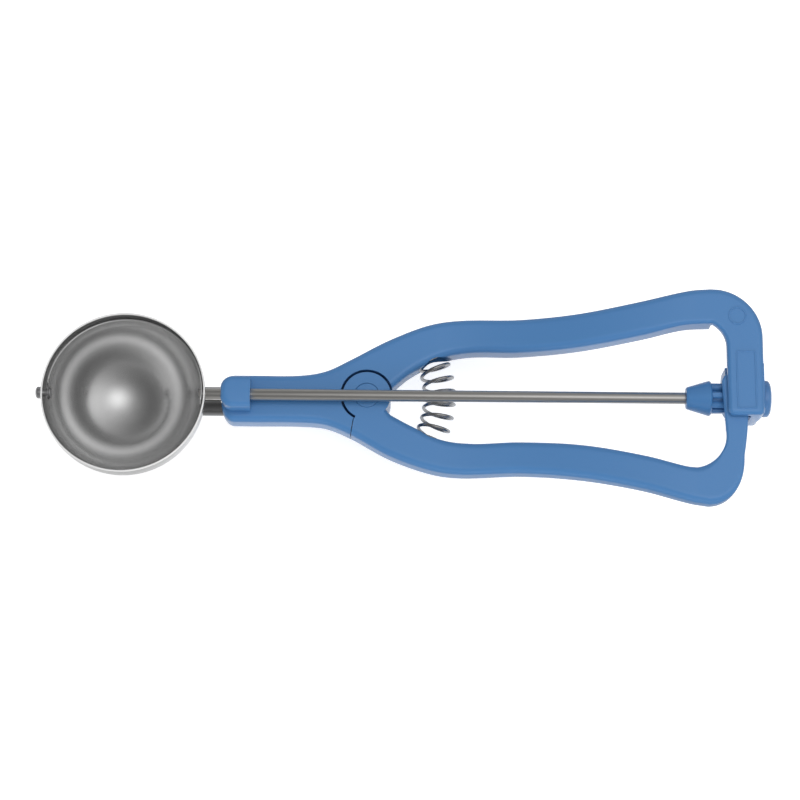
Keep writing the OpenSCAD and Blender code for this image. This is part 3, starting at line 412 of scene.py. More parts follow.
def boss():
    """Raised boss round the rod: a plan with a round nose and a straight rear end, whose
    upper edge follows a quarter circle."""
    half, right = BOSS_W / 2, NECK_X + BOSS_L
    a = np.radians(np.linspace(0, 90, 9))
    inset = np.append(0.0, BOSS_EDGE * (1 - np.cos(a)))
    level = np.append(MID_Z + 3, BOSS_TOP - BOSS_EDGE * (1 - np.sin(a)))
    rings = []
    for d, z in zip(inset, level):
        middle, nose = NECK_X + BOSS_NOSE, BOSS_NOSE - d
        plan = np.vstack([arc((middle, -half + BOSS_NOSE), nose, 180, 270, 12), [(right, -half + d)],
                          [(right, half - d)], arc((middle, half - BOSS_NOSE), nose, 90, 180, 12)])
        rings.append(join(*(plan + (0, BOSS_Y)).T, z))
    return tube("boss", np.array(rings))


def pinion_box():
    """Box round the pinion: a side profile with rounded back edges, met by a plan with a
    rounded lower corner on each side."""
    side = np.vstack([arc((-PLATE_DROP + BOX_EDGE, -BOX_BACK + BOX_EDGE), BOX_EDGE, 180, 270, 12),
                      arc((BOX_TOP - BOX_EDGE, -BOX_BACK + BOX_EDGE), BOX_EDGE, 270, 360, 12),
                      [(BOX_TOP, PLATE_Z - 1), (-PLATE_DROP, PLATE_Z - 1)]])
    box = prism("box", side, PLATE_X, END_X, "x")
    soft = WALL_IN - PLATE_X - 1
    plan = np.vstack([arc((PLATE_X + soft, -BOX_DROP + soft), soft, 180, 270, 16),
                      [(WALL_IN, -BOX_DROP), (WALL_IN, -PLATE_DROP)],
                      arc((END_X - BOX_END_EDGE, -PLATE_DROP + BOX_END_EDGE), BOX_END_EDGE, 270, 360, 10),
                      [(END_X, BOX_TOP), (PLATE_X, BOX_TOP)]])
    carve(box, prism("tool", plan, -BOX_BACK - 1, PLATE_Z, "z"), "INTERSECT")
    floor_z = RACK_TIP - RACK_GAP
    slot = [(-20, floor_z), (30, floor_z), (30, PLATE_IN), (-20, PLATE_IN)]
    carve(box, prism("tool", slot, PLATE_X - 1, WALL_IN, "x"))
    return carve(box, rod_bore(TIP_R + BOX_GAP, PLATE_X - 1, WALL_IN))


def soft_box(x0, x1, y0, y1, r):
    """Outline of a rectangle with rounded corners."""
    return np.vstack([arc((x0 + r, y0 + r), r, 180, 270, 8), arc((x1 - r, y0 + r), r, 270, 360, 8),
                      arc((x1 - r, y1 - r), r, 0, 90, 8), arc((x0 + r, y1 - r), r, 90, 180, 8)])


RELIEF = [(0, -0.5), (0, 0.08), (0.12, 0.2), (0.38, 0.2), (0.5, 0.08), (0.5, -0.5)]


def plate_relief(outline):
    """Raised line on the end plate: nested outlines, each at its inset and height in RELIEF."""
    rings = np.array([join(*outline(inset).T, PLATE_Z + lift) for inset, lift in RELIEF])
    return solid("relief", rings, grid_quads(len(rings), rings.shape[1], True, True))


def plate_frame(inset):
    return soft_box(PLATE_X + FRAME_MARGIN + inset, END_X - FRAME_MARGIN - inset, FRAME_LOW + inset,
                    FRAME_TOP - inset, FRAME_EDGE - inset)


def plate_ring(inset):
    return arc((RING_X, RING_Y), RING_R - inset, 5, 360, 71)


def fixed_handle():
    skin = tube("fixed_handle_skin", arm_rings(fixed_rows()))
    carve(skin, prism("tool", lever_region(0), BACK_Z - 1, FRONT_Z + 1))
    carve(skin, pivot_bore(HUB_R, BACK_Z, MID_Z - LAP_GAP / 2), "UNION")
    carve(skin, boss(), "UNION")
    carve(skin, plate_relief(plate_frame), "UNION")
    carve(skin, plate_relief(plate_ring), "UNION")
    carve(skin, pinion_box(), "UNION")
    for tool in (pivot_bore(POCKET_R, MID_Z - LAP_GAP / 2, FRONT_Z + 1),
                 pivot_bore(PIN_R, BACK_Z - 1, MID_Z),
                 pivot_bore(CLIP_POCKET_R, BACK_Z - 1, BACK_Z + CLIP_SINK),
                 rod_bore(STEM_R, NECK_X - 1, NECK_X + STEM_GRIP, MID_Z),
                 rod_bore(BUSH_R, NECK_X - 1, NECK_X + BUSH_L),
                 rod_bore(ROD_PASS_R, NECK_X, NECK_X + BOSS_L + 1),
                 rod_bore(BUSH_R, WALL_IN - 1, END_X + 1),
                 spring_seat(SPRING_TOP, 1), stem_pin_bore()):
        carve(skin, tool)
    return skin


# ---- Lever: hub disc, lower arm, rear corner and the bar with its rack ----
def bar_out_x(y):
    """The bar's outer edge: an arc about the pivot."""
    return HUB_X + np.sqrt(BAR_OUT ** 2 - (y - PIVOT_Y) ** 2)


def bar_line_x(y):
    return LEVER_IN_X - LEAN * (y + 3)


def bar_in_x(y):
    """The bar's inner edge: a leaning line that runs into the bend of the rear corner."""
    bend = bar_line_x(BEND_Y) - LEVER_BEND + np.sqrt(np.maximum(LEVER_BEND ** 2 - (y - BEND_Y) ** 2, 0))
    return np.where(y > BEND_Y, bar_line_x(y), bend)


def bar_rows(y, r, back, shift_in=0.0, shift_out=0.0, drop=0.0):
    y = np.atleast_1d(np.asarray(y, float))
    inner = join(bar_in_x(y) - shift_in, y)
    outer = join(bar_out_x(y) - shift_out, y)
    return stations(inner, outer, back, LEVER_REAR[1] - drop, r, r)


def lever_rows():
    """Stations from the hub along the lower arm, round the corner and up the bar."""
    x = np.linspace(-9, 0, 10)
    hub = stations(join(HUB_X + x + 3, PIVOT_Y), edge(LOWER_OUT, x, -1), BACK_Z, FRONT_Z, EDGE_R, EDGE_R)
    t = np.linspace(0, 1, 89)
    xi = mix(CROTCH_X, LOWER_IN[8][0] - 1, t)
    k = rise(HUB_X + xi)
    arm = stations(edge(LOWER_IN, xi, -1), edge(LOWER_OUT, xi - ARM_LAG * (1 - t) ** 4, -1),
                   mix(BACK_Z, LEVER_REAR[0], k), mix(FRONT_Z, LEVER_REAR[1], k), EDGE_R, EDGE_R)
    t = np.linspace(0, 1, 33)
    bend_end = np.degrees(np.arcsin((SHOULDER_Y - 0.3 - BEND_Y) / LEVER_BEND))
    a, b = np.radians(mix(-84, bend_end, t)), np.radians(mix(88, 4, t))
    xi, xo = bar_line_x(BEND_Y) - LEVER_BEND, bar_out_x(SHOULDER_Y) - LEVER_WIDE
    soft = mix(EDGE_R, BAR_FOOT_EDGE, ease(t))
    corner = stations(join(xi + LEVER_BEND * np.cos(a), BEND_Y + LEVER_BEND * np.sin(a)),
                      join(xo + LEVER_WIDE * np.cos(b) ** LEVER_CURL,
                           SHOULDER_Y - (CORNER_LOW + SHOULDER_Y) * np.sin(b) ** LEVER_CURL),
                      *LEVER_REAR, soft, soft)
    y = np.concatenate([[SHOULDER_Y + 0.05], np.linspace(-19.6, 0, 22)])
    rows = [hub, arm, corner, bar_rows(SHOULDER_Y, BAR_EDGE, LEVER_REAR[0]), bar_rows(y, BAR_EDGE, RACK_ROOT)]
    for f in np.linspace(0, 1, 9):
        fall = BAR_END_DROP * f ** 4
        rows.append(bar_rows(RACK_TOP - BAR_END * (1 - f), mix(BAR_EDGE, BAR_END_EDGE, f), RACK_ROOT,
                             -BAR_END_CURL * f * f, fall, fall))
    return np.concatenate(rows)


def rack_tooth(index):
    """One tooth: a trapezium across the bar, with flanks at the pressure angle, turned
    about the pivot to its own place. Its inner end lies 0.3 within the bar's edge line."""
    slant, pitch = np.tan(PRESSURE), 2 * np.pi * PITCH_R / TEETH
    width, foot = pitch - TOOTH_W - MESH_GAP, RACK_ROOT + TOOTH_SINK
    tip = width / 2 - (PITCH_R - RACK_TIP) * slant
    root = width / 2 + (foot - PITCH_R) * slant
    flat = np.array([(-tip, RACK_TIP), (tip, RACK_TIP), (root, foot), (-root, foot)])
    step = pitch / RACK_R
    a = np.arcsin(-PIVOT_Y / RACK_R) + (0.5 - index) * step
    y, z = np.repeat(flat[None, :, 0], 2, 0), np.repeat(flat[None, :, 1], 2, 0)
    inner = (LEVER_IN_X + 0.3 - HUB_X + y[0] * np.sin(a) - LEAN * (PIVOT_Y + y[0] * np.cos(a) + 3)) / (
        np.cos(a) + LEAN * np.sin(a))
    x = np.stack([np.maximum(inner, RACK_R - RACK_HALF), np.full(4, RACK_R + RACK_HALF)])
    rings = join(HUB_X + x * np.cos(a) - y * np.sin(a), PIVOT_Y + x * np.sin(a) + y * np.cos(a), z)
    return tube("tooth", rings)


def lever():
    arm = tube("lever_skin", arm_rings(lever_rows()))
    keep = prism("keep", lever_region(SLIDE_GAP), BACK_Z - 5, 30)
    arm_x = HUB_X + HUB_R + 0.8
    for x0, x1, y0, y1 in ((arm_x, END_X, -50, 0), (RISE_TO, END_X, -1, RACK_TOP + 1),
                           (HUB_X - 4, HUB_X + 16, -50, -18)):
        box = [(x0, y0), (x1, y0), (x1, y1), (x0, y1)]
        carve(keep, prism("tool", box, BACK_Z - 5, 30), "UNION")
    carve(arm, keep, "INTERSECT")
    for index in range(RACK_TEETH):
        carve(arm, rack_tooth(index), "UNION")
    carve(arm, pivot_bore(HUB_R, MID_Z + LAP_GAP / 2, FRONT_Z), "UNION")
    for tool in (pivot_bore(POCKET_R, BACK_Z - 1, MID_Z + LAP_GAP / 2),
                 pivot_bore(PIVOT_BUSH_R, MID_Z, FRONT_Z + 1),
                 pivot_bore(HEAD_POCKET_R, FRONT_Z - HEAD_POCKET_T, FRONT_Z + 1),
                 spring_seat(SPRING_FOOT, -1)):
        carve(arm, tool)
    return arm


# ---- Spring, bowl, rod and turned parts ----
def spring():
    """Round wire wound about an arc: the angle along the arc runs from seat to seat while
    the winding angle runs through all the coils."""
    n = int(COILS * 48) + 1
    t = np.linspace(0, 1, n)
    a = mix(SPRING_TOP, SPRING_FOOT, t)
    q = np.radians(180 + 360 * COILS * t)
    j = full_turn(14)
    c, s = WIRE_R * np.cos(j)[None], WIRE_R * np.sin(j)[None]
    reach = (SPRING_R + c) * np.cos(q)[:, None]
    b = np.radians(a)[:, None]
    x = ARC_MID[0] + (SPRING_BEND + reach) * np.cos(b) - SPRING_BEND - s * np.sin(b)
    y = ARC_MID[1] + (SPRING_BEND + reach) * np.sin(b) + s * np.cos(b)
    z = MID_Z + (SPRING_R + c) * np.sin(q)[:, None]
    return tube("spring_coil", join(x, y, z), 60)


def bowl():
    """Half sphere with a straight lip and a rolled edge, turned about the upright axis."""
    inner = BOWL_R - BOWL_WALL
    out = arc((0, 0), BOWL_R, -90, 0, 72)[1:]
    back = arc((0, 0), inner, 0, -90, 72)[:-1]
    lip = arc((inner + BOWL_WALL / 2, BOWL_LIP - BOWL_WALL / 2), BOWL_WALL / 2, 0, 180, 8)
    r, z = np.vstack([[(0, -BOWL_R)], out, [(BOWL_R, LIP_KNOT)], lip, [(inner, LIP_KNOT)], back,
                      [(0, -inner)]]).T
    cup = lathe("bowl_shell", join(z, r), "z", steps=192, soften=50)
    carve(cup, rod_bore(ROD_R + BORE_GAP, BOWL_R / 2, BOWL_R + 1), soften=50)
    return carve(cup, rod_bore(TIP_SHANK_R, -BOWL_R - 1, -BOWL_R / 2), soften=50)


def blade():
    """Band of a thin sphere. Its middle line runs by angle from the tail, through the bowl's
    depth, to the far eyelet; at both ends the half width follows a circle. A point at width
    y on radius r lies at distance sqrt(r^2 - y^2) from the band's axis."""
    half, thick = BLADE_W / 2, BLADE_T
    first = np.degrees(np.arcsin(BLADE_TAIL / BLADE_R))
    last = 180 - np.degrees(np.arcsin(half / BLADE_R))
    end = np.degrees(half / BLADE_R)
    near = end * (1 - np.cos(np.linspace(0.06, np.pi / 2, 12)))
    middle = np.linspace(first - end, -last + end, 120)[1:-1]
    a = np.concatenate([first - near, middle, (-last + near)[::-1]])
    reach = np.minimum(np.minimum(first - a, a + last), end) / end
    width = half * np.sqrt(np.clip(1 - (1 - reach) ** 2, 0, 1))
    across = np.concatenate([np.linspace(-1, 1, 11), np.linspace(1, -1, 11)])[None]
    y = across * (width[:, None] - BLADE_EDGE).clip(0.02)
    depth = np.concatenate([np.zeros(11), np.full(11, thick)])[None] + 0 * y
    turn = np.linspace(0, np.pi, 9)[None]
    side_y = np.minimum(width, BLADE_EDGE)[:, None] * np.sin(turn)
    side_depth = thick / 2 - thick / 2 * np.cos(turn) + 0 * side_y
    y = np.concatenate([y[:, :11], y[:, 10:11] + side_y[:, 1:-1], y[:, 11:], y[:, -1:] - side_y[:, 1:-1]], 1)
    depth = np.concatenate([depth[:, :11], side_depth[:, 1:-1], depth[:, 11:], side_depth[:, -2:0:-1]], 1)
    r = np.sqrt((BLADE_R - depth) ** 2 - y ** 2)
    p = np.radians(a)[:, None]
    x, z = r * np.cos(p), r * np.sin(p)
    tilt = np.radians(BLADE_REST)
    band = join(x + BLADE_SHIFT, y * np.cos(tilt) - z * np.sin(tilt), y * np.sin(tilt) + z * np.cos(tilt))
    piece = tube("scraper_blade", band, 50)
    carve(piece, rod_bore(EYE_R, 10, 30), soften=50)
    return carve(piece, rod_bore(TIP_SHANK_R + BORE_GAP, -30, -10), soften=50)


def rounded(profile, radius, steps=6):
    """Open profile of (along, radius) whose inner corners are rounded by quadratic curves."""
    p = np.asarray(profile, float)
    out = [p[:1]]
    t = np.linspace(0, 1, steps + 1)[:, None]
    for a, b, c in zip(p[:-2], p[1:-1], p[2:]):
        before, after = np.linalg.norm(a - b), np.linalg.norm(c - b)
        r = min(radius, before / 2.1, after / 2.1)
        start, end = b + (a - b) * r / before, b + (c - b) * r / after
        out.append((1 - t) ** 2 * start + 2 * t * (1 - t) * b + t * t * end)
    return np.vstack(out + [p[-1:]])


def rod():
    """Long rod with a stepped end, riveted over the blade's eyelet."""
    eye = BLADE_R + BLADE_SHIFT - BLADE_T
    step = eye + BLADE_T + 0.02
    ends = [(eye - RIVET_T, 0), (eye - RIVET_T, RIVET_R - 0.5), (eye - 0.5, RIVET_R - 0.15),
            (eye - 0.1, RIVET_R), (eye - 0.1, EYE_R), (step, EYE_R), (step, ROD_R), (ROD_END, ROD_R),
            (ROD_END, 0)]
    return lathe("drive_rod", rounded(ends, 0.12, 3), steps=72)


def stem():
    """Tube whose front end follows the bowl: x = sqrt(R^2 - y^2 - z^2) on that edge."""
    a = full_turn(96)
    inner, rear = STEM_R - STEM_WALL, NECK_X + STEM_GRIP
    rings = []
    for r, end in ((STEM_R, None), (STEM_R, NECK_X - 0.2), (STEM_R, rear), (inner, rear), (inner, None)):
        y, z = r * np.cos(a), MID_Z + r * np.sin(a)
        x = np.sqrt(BOWL_R ** 2 - y ** 2 - z ** 2) if end is None else np.full(len(a), end)
        rings.append(join(x, y, z))
    pipe = solid("stem_tube", np.array(rings), grid_quads(len(rings), len(a), True, True))
    return carve(pipe, stem_pin_bore())


def tip_rivet():
    """Rivet through the bowl and the blade's far eyelet, with a head at both ends."""
    inner = BLADE_R - BLADE_T - BLADE_SHIFT - TIP_PLAY - TIP_WASHER_T
    outer, head = BOWL_R + TIP_HEAD_T, TIP_HEAD_R
    profile = [(inner - 0.6, 0), (inner - 0.6, head - 0.55), (inner - 0.3, head - 0.25), (inner, head - 0.25),
               (inner, TIP_SHANK_R), (BOWL_R, TIP_SHANK_R), (BOWL_R, head), (outer - 0.55, head),
               (outer, head - 0.75), (outer, 0)]
    return lathe("tip_rivet_head", rounded(profile, 0.25, 4) * (-1, 1), steps=64)


def pinion_sleeve():
    """Locking cone and gear. Each flank is an involute, base * (cos t + t sin t, sin t -
    t cos t), turned by the half tooth angle."""
    base, root = PITCH_R * np.cos(PRESSURE), PITCH_R - 1
    half = TOOTH_W / PITCH_R / 2 + np.tan(PRESSURE) - PRESSURE
    t = np.sqrt(np.maximum((np.linspace(base, TIP_R, 9) / base) ** 2 - 1, 0))
    flank = base * join(np.cos(t) + t * np.sin(t), np.sin(t) - t * np.cos(t))
    radius, angle = np.hypot(*flank.T), np.arctan2(flank[:, 1], flank[:, 0])
    r = np.concatenate([[root], radius, radius[::-1], [root]])
    a = np.concatenate([[-half], -half + angle, half - angle[::-1], [half]])
    gap = np.linspace(half, 2 * np.pi / TEETH - half, 6)[1:-1]
    r, a = np.append(r, np.full(4, root)), np.append(a, gap)
    a = (a[None] + np.arange(TEETH)[:, None] * 2 * np.pi / TEETH).ravel()
    r = np.tile(r, TEETH)
    outline = join(r * np.sin(a), -r * np.cos(a))[::-1]
    x0 = FLANGE_X - CONE_L
    profile = [(x0, 0), (x0, CONE_R - 0.4), (x0 + 0.4, CONE_R), (FLANGE_X - 1, FLANGE_R - 0.1),
               (FLANGE_X - 0.7, FLANGE_R), (FLANGE_X, FLANGE_R - 0.5), (FLANGE_X, 0)]
    cone = lathe("locking_cone", rounded(profile, 0.35), steps=128)
    carve(cone, prism("tool", outline, FLANGE_X - 0.5, GEAR_END, "x"), "UNION")
    carve(cone, rod_bore(ROD_R, x0 - 1, GEAR_END + 1))
    return carve(cone, cross_bore(FLANGE_X - CONE_L / 2, SLEEVE_PIN_R, -CONE_R - 0.6, 0))


def end_button():
    """Disc with a soft rim and a low dome: r^2 / (2 * BUTTON_CROWN) below its top."""
    face, flat_r = END_X + SLIDE_GAP, BUTTON_R - BUTTON_EDGE
    top = face + BUTTON_T
    r = np.linspace(0, flat_r, 10)
    dome = join(top - r ** 2 / (2 * BUTTON_CROWN), r)
    rim = arc((top - BUTTON_DROP, flat_r), BUTTON_EDGE, 24, 90, 8)
    back = [(face + 0.3, BUTTON_R), (face, BUTTON_R - 0.3), (face, ROD_R), (ROD_END, ROD_R), (ROD_END, 0)]
    return lathe("end_cap", np.vstack([dome, rim, back])[::-1], steps=128)


def pivot_pin():
    """Headed pin. The corner under its head stays sharp, to clear the bush."""
    low, neck = BACK_Z + PIN_SHORT, FRONT_Z - PIN_HEAD_T
    shank = [(low, 0), (low, PIN_R), (neck, PIN_R)]
    head = [(neck, PIN_R), (neck, PIN_HEAD_R), (FRONT_Z, PIN_HEAD_R), (FRONT_Z, 0)]
    profile = np.vstack([rounded(shank, PIN_EDGE)[:-1], rounded(head, PIN_EDGE)])
    return lathe("pivot_head", profile, "z", (HUB_X, PIVOT_Y))


spring_piece = spring()
PIECES = {"bowl": (bowl(), "fixed"), "stem": (stem(), "fixed"), "tip_rivet": (tip_rivet(), "fixed"),
          "fixed_handle": (fixed_handle(), "fixed"), "pivot_pin": (pivot_pin(), "fixed"),
          "lever": (lever(), "lever"), "rod": (rod(), "scraper_drive"), "scraper": (blade(), "scraper_drive"),
          "pinion_sleeve": (pinion_sleeve(), "scraper_drive"), "end_button": (end_button(), "scraper_drive")}
for node, (piece, body) in PIECES.items():
    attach(piece, body)
    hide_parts(node)
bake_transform(spring_piece)
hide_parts("return_spring")


# ---- Finishes ----
# Depth of all fine relief, level above which the bowl's rim gets a painted highlight and the
# height over which it begins, all in metres; how metallic that painted highlight is
RELIEF_DEPTH, RIM_HIGHLIGHT_LEVEL, RIM_HIGHLIGHT_FADE, RIM_HIGHLIGHT_METAL = 0.0001, 0.0302, 0.00012, 0.2


def group(name, inputs, outputs):
    """Empty shader group with float, colour or vector sockets; returns it with the sockets
    at its two ends."""
    tree = bpy.data.node_groups.new(name, "ShaderNodeTree")
    kinds = {"f": "NodeSocketFloat", "c": "NodeSocketColor", "v": "NodeSocketVector"}
    for label, kind, value in inputs:
        socket = tree.interface.new_socket(label, in_out="INPUT", socket_type=kinds[kind])
        if value is not None:
            socket.default_value = value
    for label, kind in outputs:
        tree.interface.new_socket(label, in_out="OUTPUT", socket_type=kinds[kind])
    return tree, tree.nodes.new("NodeGroupInput").outputs, tree.nodes.new("NodeGroupOutput").inputs


def add(tree, kind, links=None, **settings):
    """Node with its settings; links maps an input's name or number to a socket or value."""
    node = tree.nodes.new(kind)
    for key, value in settings.items():
        setattr(node, key, value)
    for key, value in (links or {}).items():
        if isinstance(value, bpy.types.NodeSocket):
            tree.links.new(value, node.inputs[key])
        else:
            node.inputs[key].default_value = value
    return node


def calc(tree, operation, a, b=0.0):
    return add(tree, "ShaderNodeMath", {0: a, 1: b}, operation=operation).outputs[0]


def ramp(tree, value, start, end, low=0.0, high=1.0):
    """Straight change from start to end while the value runs from low to high."""
    return add(tree, "ShaderNodeMapRange", {0: value, 1: low, 2: high, 3: start, 4: end}).outputs[0]


def noise(tree, vector, scale, detail, roughness=0.5):
    return add(tree, "ShaderNodeTexNoise", {"Vector": vector, "Scale": scale, "Detail": detail,
                                            "Roughness": roughness}).outputs["Fac"]


def drift(tree, enter, field, middle):
    """Tone and gloss that both move by Drift times the field's distance from its middle."""
    scaled = calc(tree, "MULTIPLY", calc(tree, "ADD", field, -middle), enter["Drift"])
    tone = add(tree, "ShaderNodeHueSaturation", {"Color": enter["Tone"],
                                                 "Value": calc(tree, "ADD", scaled, 1.0)})
    return tone.outputs["Color"], calc(tree, "ADD", scaled, enter["Gloss"])


def mould_grain():
    """Fine eroded texture of a moulded surface with slow drifts in tone and gloss."""
    tree, enter, leave = group(
        "mould_grain", [("Vector", "v", None), ("Scale", "f", 900.0), ("Tone", "c", (0.1, 0.2, 0.5, 1)),
                        ("Drift", "f", 0.06), ("Gloss", "f", 0.4)],
        [("Color", "c"), ("Roughness", "f"), ("Height", "f")])
    fine = noise(tree, enter["Vector"], enter["Scale"], 3.0, 0.6)
    slow = noise(tree, enter["Vector"], 26.0, 4.0)
    for label, socket in zip(("Color", "Roughness", "Height"), (*drift(tree, enter, slow, 0.5), fine)):
        tree.links.new(socket, leave[label])
    return tree


def drawn_marks():
    """Fine lines left by drawing, turning or spinning: noise stretched along two axes by
    the Stretch vector, with slow changes of tone and gloss. Above a height given as an input
    the colour is a painted highlight, pale and matt."""
    tree, enter, leave = group(
        "drawn_marks", [("Vector", "v", None), ("Stretch", "v", (1, 1, 1)), ("Scale", "f", 1200.0),
                        ("Tone", "c", (0.6, 0.6, 0.6, 1)), ("Drift", "f", 0.1), ("Gloss", "f", 0.25),
                        ("Metal", "f", 0.88), ("Lip", "f", 1.0)],
        [("Color", "c"), ("Roughness", "f"), ("Height", "f"), ("Metallic", "f")])
    # Painted highlight: above the given height the colour turns pale and the metal drops
    level = add(tree, "ShaderNodeSeparateXYZ", {"Vector": enter["Vector"]})
    above = calc(tree, "SUBTRACT", level.outputs["Z"], enter["Lip"])
    lip = ramp(tree, above, 0.0, 1.0, 0.0, RIM_HIGHLIGHT_FADE)
    metal = add(tree, "ShaderNodeMix", {0: lip, 2: enter["Metal"], 3: RIM_HIGHLIGHT_METAL}).outputs[0]
    run = add(tree, "ShaderNodeVectorMath", {0: enter["Vector"], 1: enter["Stretch"]}, operation="MULTIPLY")
    fine = noise(tree, run.outputs[0], enter["Scale"], 2.0)
    slow = noise(tree, enter["Vector"], 60.0, 3.0)
    tone, gloss = drift(tree, enter, calc(tree, "ADD", fine, slow), 1.0)
    tone_with_highlight = add(tree, "ShaderNodeMix", {0: lip, 6: tone, 7: (0.9, 0.9, 0.9, 1)}, data_type="RGBA").outputs[2]
    for label, socket in (("Color", tone_with_highlight), ("Roughness", gloss), ("Height", fine), ("Metallic", metal)):
        tree.links.new(socket, leave[label])
    return tree


GRAIN, MARKS = mould_grain(), drawn_marks()


def new_tree(data):
    """Node tree of a new material or world, without its first nodes."""
    data.use_nodes = True
    data.node_tree.nodes.clear()
    return data.node_tree


def finish(name, effect, metallic, bump, shader=(), **values):
    """Material: the effect group feeds one Principled shader, and bump is the strength of
    its relief. Metallic is a plain number, or None where it follows the painted rim highlight."""
    material = bpy.data.materials.new(name)
    tree = new_tree(material)
    spot = add(tree, "ShaderNodeTexCoord")
    effect_node = add(tree, "ShaderNodeGroup", node_tree=effect)
    tree.links.new(spot.outputs["Object"], effect_node.inputs["Vector"])
    for key, value in values.items():
        effect_node.inputs[key].default_value = value
    relief = add(tree, "ShaderNodeBump", {"Height": effect_node.outputs["Height"], "Strength": bump,
                                          "Distance": RELIEF_DEPTH})
    surface = add(tree, "ShaderNodeBsdfPrincipled", {
        "Base Color": effect_node.outputs["Color"], "Roughness": effect_node.outputs["Roughness"],
        "Normal": relief.outputs["Normal"], **dict(shader)})
    if metallic is None:
        tree.links.new(effect_node.outputs["Metallic"], surface.inputs["Metallic"])
    else:
        surface.inputs["Metallic"].default_value = metallic
    out = add(tree, "ShaderNodeOutputMaterial")
    tree.links.new(surface.outputs["BSDF"], out.inputs["Surface"])
    return material


CLEAR = {"Coat Weight": 0.8, "Coat Roughness": 0.18, "Coat IOR": 1.42, "Specular IOR Level": 0.4}
MOULDED, TURNED = {"Scale": 2200.0, "Drift": 0.05}, {"Scale": 900.0, "Drift": 0.08}
SPUN = {"Scale": 400.0, "Stretch": (1, 1, 6), "Drift": 0.06, "Gloss": 0.16}
handle_blue = finish("handle_blue", GRAIN, 0.0, 0.25, CLEAR, Tone=(0.058, 0.200, 0.455, 1),
                     Gloss=0.42, **MOULDED)
button_blue = finish("button_blue", GRAIN, 0.0, 0.25, CLEAR, Tone=(0.066, 0.195, 0.43, 1),
                     Gloss=0.40, **MOULDED)
# The bowl's rim above this level is painted pale and less metallic, a painted highlight
bowl_steel = finish("bowl_steel", MARKS, None, 0.05, Tone=(0.66, 0.66, 0.66, 1), Lip=RIM_HIGHLIGHT_LEVEL, **SPUN)
blade_steel = finish("blade_steel", MARKS, 0.88, 0.05, Tone=(0.70, 0.70, 0.70, 1), **SPUN)
# The stem's tone is painted shade: far darker than the rod's steel, standing in for the shade under the rod
stem_steel = finish("stem_steel", MARKS, 1.0, 0.05, Tone=(0.19, 0.19, 0.192, 1), Stretch=(0.05, 1, 1),
                    Gloss=0.24, **TURNED)
rod_steel = finish("rod_steel", MARKS, 1.0, 0.06, Tone=(0.60, 0.588, 0.565, 1), Stretch=(0.03, 1, 1),
                   Gloss=0.30, **TURNED)
pin_steel = finish("pin_steel", MARKS, 1.0, 0.05, Tone=(0.5, 0.5, 0.51, 1), Gloss=0.3, **TURNED)
spring_steel = finish("spring_steel", MARKS, 1.0, 0.05, Tone=(0.43, 0.43, 0.43, 1), Scale=900.0,
                      Drift=0.1, Gloss=0.26)
white_acetal = finish("white_acetal", GRAIN, 0.0, 0.15, Tone=(0.78, 0.78, 0.75, 1), Scale=1800.0,
                      Drift=0.04, Gloss=0.4)

WORN_BY = {
    handle_blue: ("fixed_handle", "lever", "pivot_pin", "pinion_sleeve"), button_blue: ("end_button",),
    bowl_steel: ("bowl",), blade_steel: ("scraper",), stem_steel: ("stem",), rod_steel: ("rod",),
    pin_steel: ("stem_pin", "tip_rivet", "tip_washer", "pivot_clip", "sleeve_pin"),
    spring_steel: ("return_spring",), white_acetal: ("rod_bush", "end_bush", "pivot_bush", "pivot_washer",
                                                     "thrust_washer")}
NEW_PIECE = {"return_spring": spring_piece, **{node: piece for node, (piece, body) in PIECES.items()}}
for material, nodes in WORN_BY.items():
    for node in nodes:
        for obj in filter(None, (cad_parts[node], NEW_PIECE.get(node))):
            obj.data.materials.clear()
            obj.data.materials.append(material)

# ---- Studio: floor, light and camera ----
view = bpy.context.scene.view_settings
view.view_transform = "Standard"

# Distance from the long axis over which the mirrored floor fades, in metres
FADE = (0.012, 0.06)
# Ceiling: its edge in degrees, its dim glow above and at the horizon, and its windows as
# middle and half width over the slopes x / z and y / z, and power
DOME_END, DOME_TOP, DOME_LOW = 88.0, 0.03, 0.38
WINDOWS = [(0.2, -0.13, 0.30, 0.27, 0.85), (0.85, 0.04, 1.0, 0.95, 0.75)]


def round_sheet(name, points, material):
    """Sheet through rings of points, closed by a face inside the first ring."""
    rows, cols = points.shape[:2]
    mesh = bpy.data.meshes.new(name)
    faces = grid_quads(rows, cols, wrap_cols=True).tolist() + [list(range(cols))]
    mesh.from_pydata(points.reshape(-1, 3).tolist(), [], faces)
    mesh.materials.append(material)
    return link(bpy.data.objects.new(name, mesh))


def rings_of(start, end, rows, cols):
    """Grid over rows from start to end and cols equal steps of a full turn."""
    return np.meshgrid(np.linspace(start, end, rows), full_turn(cols), indexing="ij")


